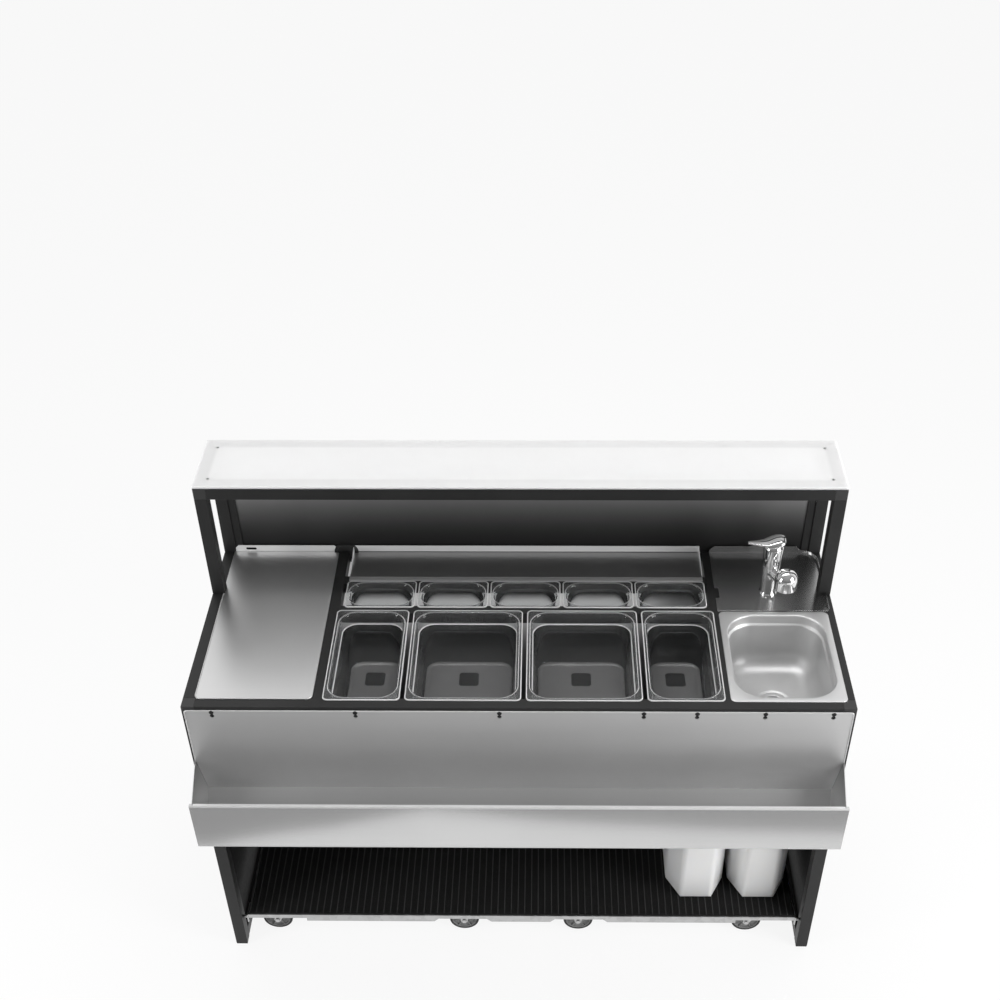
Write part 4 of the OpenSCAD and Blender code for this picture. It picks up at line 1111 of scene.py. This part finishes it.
def ribbed_mat():
    """Rubber mat: a base sheet, and one pitch of a main rib and fine ribs repeated across it."""
    low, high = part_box("shelf_mat")
    base = high.z - 1.4 * MM
    bm = bmesh.new()
    block(bm, low, Vector((high.x, high.y, base)), 0.5 * MM)
    finish_piece("shelf_mat_sheet", bm, (MAT_RUBBER,), "unit", ("shelf_mat",))
    count = int((high.x - low.x) / MAT_PITCH)
    pitch = (high.x - low.x) / count
    bm = bmesh.new()
    for index in range(MAT_RIBS):
        x = low.x + pitch * (index + 0.5) / MAT_RIBS
        wide = 1.3 * MM if index == 0 else 0.6 * MM
        top = high.z if index == 0 else high.z - 0.7 * MM
        block(
            bm, Vector((x - wide, low.y + 1.0 * MM, base - 0.2 * MM)),
            Vector((x + wide, high.y - 1.0 * MM, top)), 0.35 * MM, 1,
        )
    piece = finish_piece("shelf_mat_ribs", bm, (MAT_RUBBER,), "unit", ("shelf_mat",))
    row = piece.modifiers.new("row", "ARRAY")
    row.count = count
    row.use_relative_offset = False
    row.use_constant_offset = True
    row.constant_offset_displace = (pitch, 0.0, 0.0)


def rail_studs():
    """Shoulder studs with domed heads that the rail's keyholes hang on."""
    low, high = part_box("rail_studs")
    studs = []
    for x in sorted({round(v.co.x / MM) for v in frame["nodes"]["rail_studs"].data.vertices}):
        if not studs or x - studs[-1][-1] > STUD_SPACE:
            studs.append([x])
        else:
            studs[-1].append(x)
    reach = (high.y - low.y) / MM
    shoulder = [(2.5, 0.0), (2.5, reach - 2.5), (5.4, reach - 2.5), (5.4, reach - 1.2)]
    head = arc(3.4, reach - 2.0, 2.0, 20, 90, 4) + [(1.8, reach), (1.6, reach - 1.2), (0.0, reach - 1.2)]
    bm = bmesh.new()
    for stud in studs:
        centre = Vector(((stud[0] + stud[-1]) / 2 * MM, high.y, (low.z + high.z) / 2))
        lathe(bm, shoulder + head, centre, FRONT, 24)
    close_up(bm)
    finish_piece("rail_studs_domed", bm, (BLACK_COAT,), "unit", ("rail_studs",))


def socket_screw(bm, centre, axis, radius, height):
    """Pan-head screw with a round socket."""
    head = [(0.0, 0.0), (radius, 0.0), (radius, height * 0.5)]
    head += [(radius * 0.9, height * 0.85), (radius * 0.72, height), (radius * 0.5, height)]
    lathe(bm, head, centre, axis, 24)
    socket = [(radius * 0.5, height), (radius * 0.46, height * 0.4), (0.0, height * 0.4)]
    lathe(bm, socket, centre, axis, 24)


def panel_screws():
    """Screws of the counter slab and of the panel strips."""
    slab_low, slab_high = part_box("counter_slab")
    strip_low, strip_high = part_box("panel_strips")
    bm = bmesh.new()
    for way in (-1, 1):
        for y in (slab_low.y + SLAB_SCREW.y, slab_high.y - SLAB_SCREW.y):
            socket_screw(bm, Vector((way * (slab_high.x - SLAB_SCREW.x), y, slab_low.z)), UP, 4.0, 6.0)
        spot = Vector((way * (strip_high.x - STRIP_SCREW.x), strip_low.y, strip_high.z - STRIP_SCREW.y))
        socket_screw(bm, spot, FRONT, 3.5, 2.0)
    close_up(bm)
    finish_piece("panel_screws_socket", bm, (ZINC,), "unit", ("panel_screws",))


def fill_holes(bm):
    """Closes every open edge with a face."""
    bmesh.ops.holes_fill(bm, edges=[e for e in bm.edges if e.is_boundary], sides=0)


def cable_grommet():
    """Half-round grommet with a raised lip, cut off level with the upstands on either side of it."""
    low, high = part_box("cable_grommet")
    centre = Vector(((low.x + high.x) / 2, high.y, low.z))
    radius = (high.x - low.x) / 2 / MM
    thick = (high.y - low.y) / MM
    bm = bmesh.new()
    profile = [(0.0, 0.0), (radius, 0.0), (radius, thick - 1.0), (radius - 1.0, thick), (radius - 5.0, thick)]
    profile += [(radius - 6.0, thick - 1.6), (5.0, thick - 2.0), (4.0, thick - 3.6), (0.0, thick - 3.6)]
    verts = [bm.verts.new(centre + Vector((r * MM, 0.0, 0.0)) + FRONT * h * MM) for r, h in profile]
    edges = [bm.edges.new(pair) for pair in zip(verts, verts[1:])]
    bmesh.ops.spin(bm, geom=verts + edges, cent=centre, axis=FRONT, angle=math.pi, steps=32, use_merge=False)
    bmesh.ops.remove_doubles(bm, verts=bm.verts, dist=MERGE)
    fill_holes(bm)
    bmesh.ops.bisect_plane(
        bm, geom=bm.verts[:] + bm.edges[:] + bm.faces[:], dist=MERGE,
        plane_co=(0.0, 0.0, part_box("work_cover")[1].z), plane_no=UP, clear_outer=True,
    )
    fill_holes(bm)
    bmesh.ops.recalc_face_normals(bm, faces=bm.faces)
    finish_piece("cable_grommet_lipped", bm, (RUBBER_FOOT,), "unit", ("cable_grommet",))


def rolled_wire(bm, path, radius, across=UP):
    """Round edge of a sheet along a path of points in the plane across a direction, its ends closed."""
    places = []
    for index, point in enumerate(path):
        before = path[max(index - 1, 0)]
        after = path[min(index + 1, len(path) - 1)]
        ahead = (after - before).normalized()
        side = ahead.cross(across).normalized()
        places.append(section_at(point, side * radius, side.cross(ahead) * radius, ahead))
    loft(bm, places, 12)


def bent_path(left, right, end, peak, corner):
    """(across, along) points of an edge: up one side, round two corners at the peak and down the other."""
    way = math.copysign(corner, end - peak)
    turns = [math.pi / 12 * step for step in range(7)]
    first = [(left + corner * (1 - math.cos(turn)), peak + way * (1 - math.sin(turn))) for turn in turns]
    second = [(right - corner * (1 - math.sin(turn)), peak + way * (1 - math.cos(turn))) for turn in turns]
    return [(left, end)] + first + second + [(right, end)]


def cover_edge():
    """Rolled edge along the front and the sides of the stainless cover, up to the counter's uprights."""
    low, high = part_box("work_cover")
    radius = 1.5 * MM
    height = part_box("rear_filler")[0].z + 2 * SHEET - radius
    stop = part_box("counter_uprights")[0].y - 1.0 * MM
    points = bent_path(low.x + radius, high.x - radius, stop, low.y + radius, COVER_CORNER - radius)
    bm = bmesh.new()
    rolled_wire(bm, [Vector((x, y, height)) for x, y in points], radius)
    close_up(bm)
    finish_piece("work_cover_edge", bm, (RAIL_STEEL,), "work_cover")


def rail_hem():
    """Folded hem along the top of the rail's front wall."""
    low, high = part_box("speed_rail")
    bm = bmesh.new()
    block(
        bm, Vector((low.x, low.y - 1.2 * MM, RAIL_FRONT_TOP - 4.6 * MM)),
        Vector((high.x, low.y + 2.8 * MM, RAIL_FRONT_TOP + 0.8 * MM)), 1.9 * MM, 5,
    )
    finish_piece("speed_rail_hem", bm, (HEM_STEEL,), "speed_rail")


def rail_edges():
    """Rolled edge round the top of the rail's back, and the bend along the foot of its front wall."""
    low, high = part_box("speed_rail")
    radius = 1.6 * MM
    depth = high.y - 1.8 * MM
    points = bent_path(low.x + radius, high.x - radius, RAIL_EDGE_END, high.z - 1.0 * MM, 7.0 * MM)
    bm = bmesh.new()
    rolled_wire(bm, [Vector((x, depth, z)) for x, z in points], radius, -FRONT)
    bend = 2.2 * MM
    rolled_wire(bm, [Vector((x, low.y + bend, low.z - 1.4 * MM)) for x in (low.x, high.x)], bend)
    close_up(bm)
    finish_piece("speed_rail_edges", bm, (HEM_STEEL,), "speed_rail")


def filler_lip():
    """Folded lip along the front of the filler, just behind the small pans."""
    low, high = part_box("rear_filler")
    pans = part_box("pan_ninth_1")[1].y
    bm = bmesh.new()
    block(
        bm, Vector((low.x, pans + 1.8 * MM, low.z + 0.2 * MM)),
        Vector((high.x, low.y + 1.2 * MM, low.z + 2.8 * MM)), 1.0 * MM, 3,
    )
    finish_piece("rear_filler_lip", bm, (LIP_STEEL,), "unit")


cover_edge()
rail_hem()
rail_edges()
filler_lip()
ribbed_mat()
rail_studs()
panel_screws()
cable_grommet()


# Floor, world, lamps and camera

FLOOR_HALF = 20.0
FLOOR_SHADE = 0.86
FLOOR_WHITE = 0.88
# levels and hem of the floor's painted reflection, seen only by glossy rays
NEAR_PAINTED_REFLECTION = 0.92
LEFT_PAINTED_REFLECTION = 0.33
RIGHT_PAINTED_REFLECTION = 0.95
PAINTED_REFLECTION_HEM = (
    (0.054, 0.865), (0.097, 0.7275), (0.149, 0.615), (0.2185, 0.495), (0.361, 0.12), (0.523, 0.335),
    (0.648, 0.427), (0.80, 0.518), (0.949, 0.5635),
)


def studio_floor():
    """Pale floor: white to the eye, with the shadow kept; glossy rays see a painted reflection: a bright
    sheet in front of the unit, grey far to the left and bright far to the right.
    """
    bm = bmesh.new()
    bmesh.ops.create_grid(bm, x_segments=1, y_segments=1, size=FLOOR_HALF)
    floor = new_object("floor", bm)
    pale = Finish("floor_pale")
    pale.tree.nodes.remove(pale.shader)
    rays = pale.node("ShaderNodeLightPath").output.node
    camera, glossy, clear = (Socket(pale, rays.outputs[name]) for name in
                             ("Is Camera Ray", "Is Glossy Ray", "Is Transmission Ray"))
    x, y, _ = pale.axes(pale.point)
    lit = pale.node("ShaderNodeBsdfDiffuse", None, {"Color": grey(FLOOR_SHADE)})
    white = pale.node("ShaderNodeEmission", None, {"Color": grey(1.0)})
    shown = pale.blend_shader(FLOOR_WHITE, lit, white)
    # painted reflection for glossy rays: bright near the unit out to a wavy hem, grey far left, bright far
    # right
    across = (x + 1.0) / 2.0
    hem = pale.ramp(across, *PAINTED_REFLECTION_HEM)
    near = pale.smooth(y + 1.0 - 0.2 * hem, -0.012, 0.012)
    right = pale.smooth(x, 0.1, 1.1) * pale.smooth(-1.0 * y, 1.0, 1.14)
    far = LEFT_PAINTED_REFLECTION + (RIGHT_PAINTED_REFLECTION - LEFT_PAINTED_REFLECTION) * right
    painted_reflection = far + (NEAR_PAINTED_REFLECTION - far) * near
    painted_reflection_shader = pale.node("ShaderNodeEmission", None, {"Color": pale.mix(painted_reflection, grey(0.0), grey(1.0))})
    seen = pale.blend_shader(camera.most(clear), lit, shown)
    surface = pale.blend_shader(glossy, seen, painted_reflection_shader)
    pale.feed(pale.tree.nodes["Material Output"].inputs["Surface"], surface)
    floor.data.materials.append(pale.material)


def studio_world():
    """Soft room: white behind the unit, grey overhead and in front, white to the eye."""
    world = bpy.data.worlds.new("studio")
    world.use_nodes = True
    bpy.context.scene.world = world
    room = Nodes(world.node_tree)
    background = room.tree.nodes["Background"]
    aim = room.node("ShaderNodeTexCoord", output="Generated")
    _, y, z = room.axes(aim)
    rays = room.node("ShaderNodeLightPath").output.node
    camera = Socket(room, rays.outputs["Is Camera Ray"])
    behind = room.smooth(y, -0.25, 0.55)
    front = room.ramp(z, (0.0, 0.12), (0.5, 0.26), (0.95, 0.36))
    dome = room.mix(behind, front, grey(0.92))
    room.feed(background.inputs["Color"], room.mix(camera, dome, grey(1.0)))
    background.inputs["Strength"].default_value = 1.0


def soft_lamp(name, place, aim, size, power):
    """Rectangular lamp at a place, turned towards a point."""
    data = bpy.data.lights.new(name, "AREA")
    data.shape = "RECTANGLE"
    data.size, data.size_y = size
    data.energy = power
    lamp = bpy.data.objects.new(name, data)
    lamp.location = place
    lamp.rotation_euler = (Vector(aim) - Vector(place)).to_track_quat("-Z", "Y").to_euler()
    bpy.context.scene.collection.objects.link(lamp)


CAMERA_PLACE = (0.05533, -2.52671, 2.95538)
CAMERA_PITCH = 0.7478
CAMERA_YAW = 0.0166
CAMERA_ROLL = -0.0078
LENS = 49.668
SHIFT = (-0.02584, 0.21306)


def photo_camera():
    """Camera at the photograph's viewing angle."""
    data = bpy.data.cameras.new("photo")
    data.sensor_width = 36.0
    data.lens = LENS
    data.shift_x, data.shift_y = SHIFT
    camera = bpy.data.objects.new("photo", data)
    yaw, pitch = CAMERA_YAW, CAMERA_PITCH
    ahead = Vector((-math.sin(yaw) * math.cos(pitch), math.cos(yaw) * math.cos(pitch), -math.sin(pitch)))
    right = ahead.cross(UP).normalized()
    up = right.cross(ahead)
    rolled_right = right * math.cos(CAMERA_ROLL) + up * math.sin(CAMERA_ROLL)
    rolled_up = up * math.cos(CAMERA_ROLL) - right * math.sin(CAMERA_ROLL)
    turn = Matrix((rolled_right, rolled_up, -ahead)).transposed()
    camera.matrix_world = Matrix.Translation(CAMERA_PLACE) @ turn.to_4x4()
    bpy.context.scene.collection.objects.link(camera)
    bpy.context.scene.camera = camera


studio_floor()
studio_world()
soft_lamp("key_right", (3.2, -1.6, 1.7), (0.1, 0.0, 0.6), (1.6, 2.2), 105)
soft_lamp("fill_left", (-3.2, -1.6, 1.6), (0.0, 0.0, 0.6), (1.2, 1.8), 50)
soft_lamp("overhead", (0.0, 0.15, 3.3), (0.0, 0.0, 0.8), (2.6, 0.35), 27)
photo_camera()
bpy.context.scene.view_settings.view_transform = "Standard"
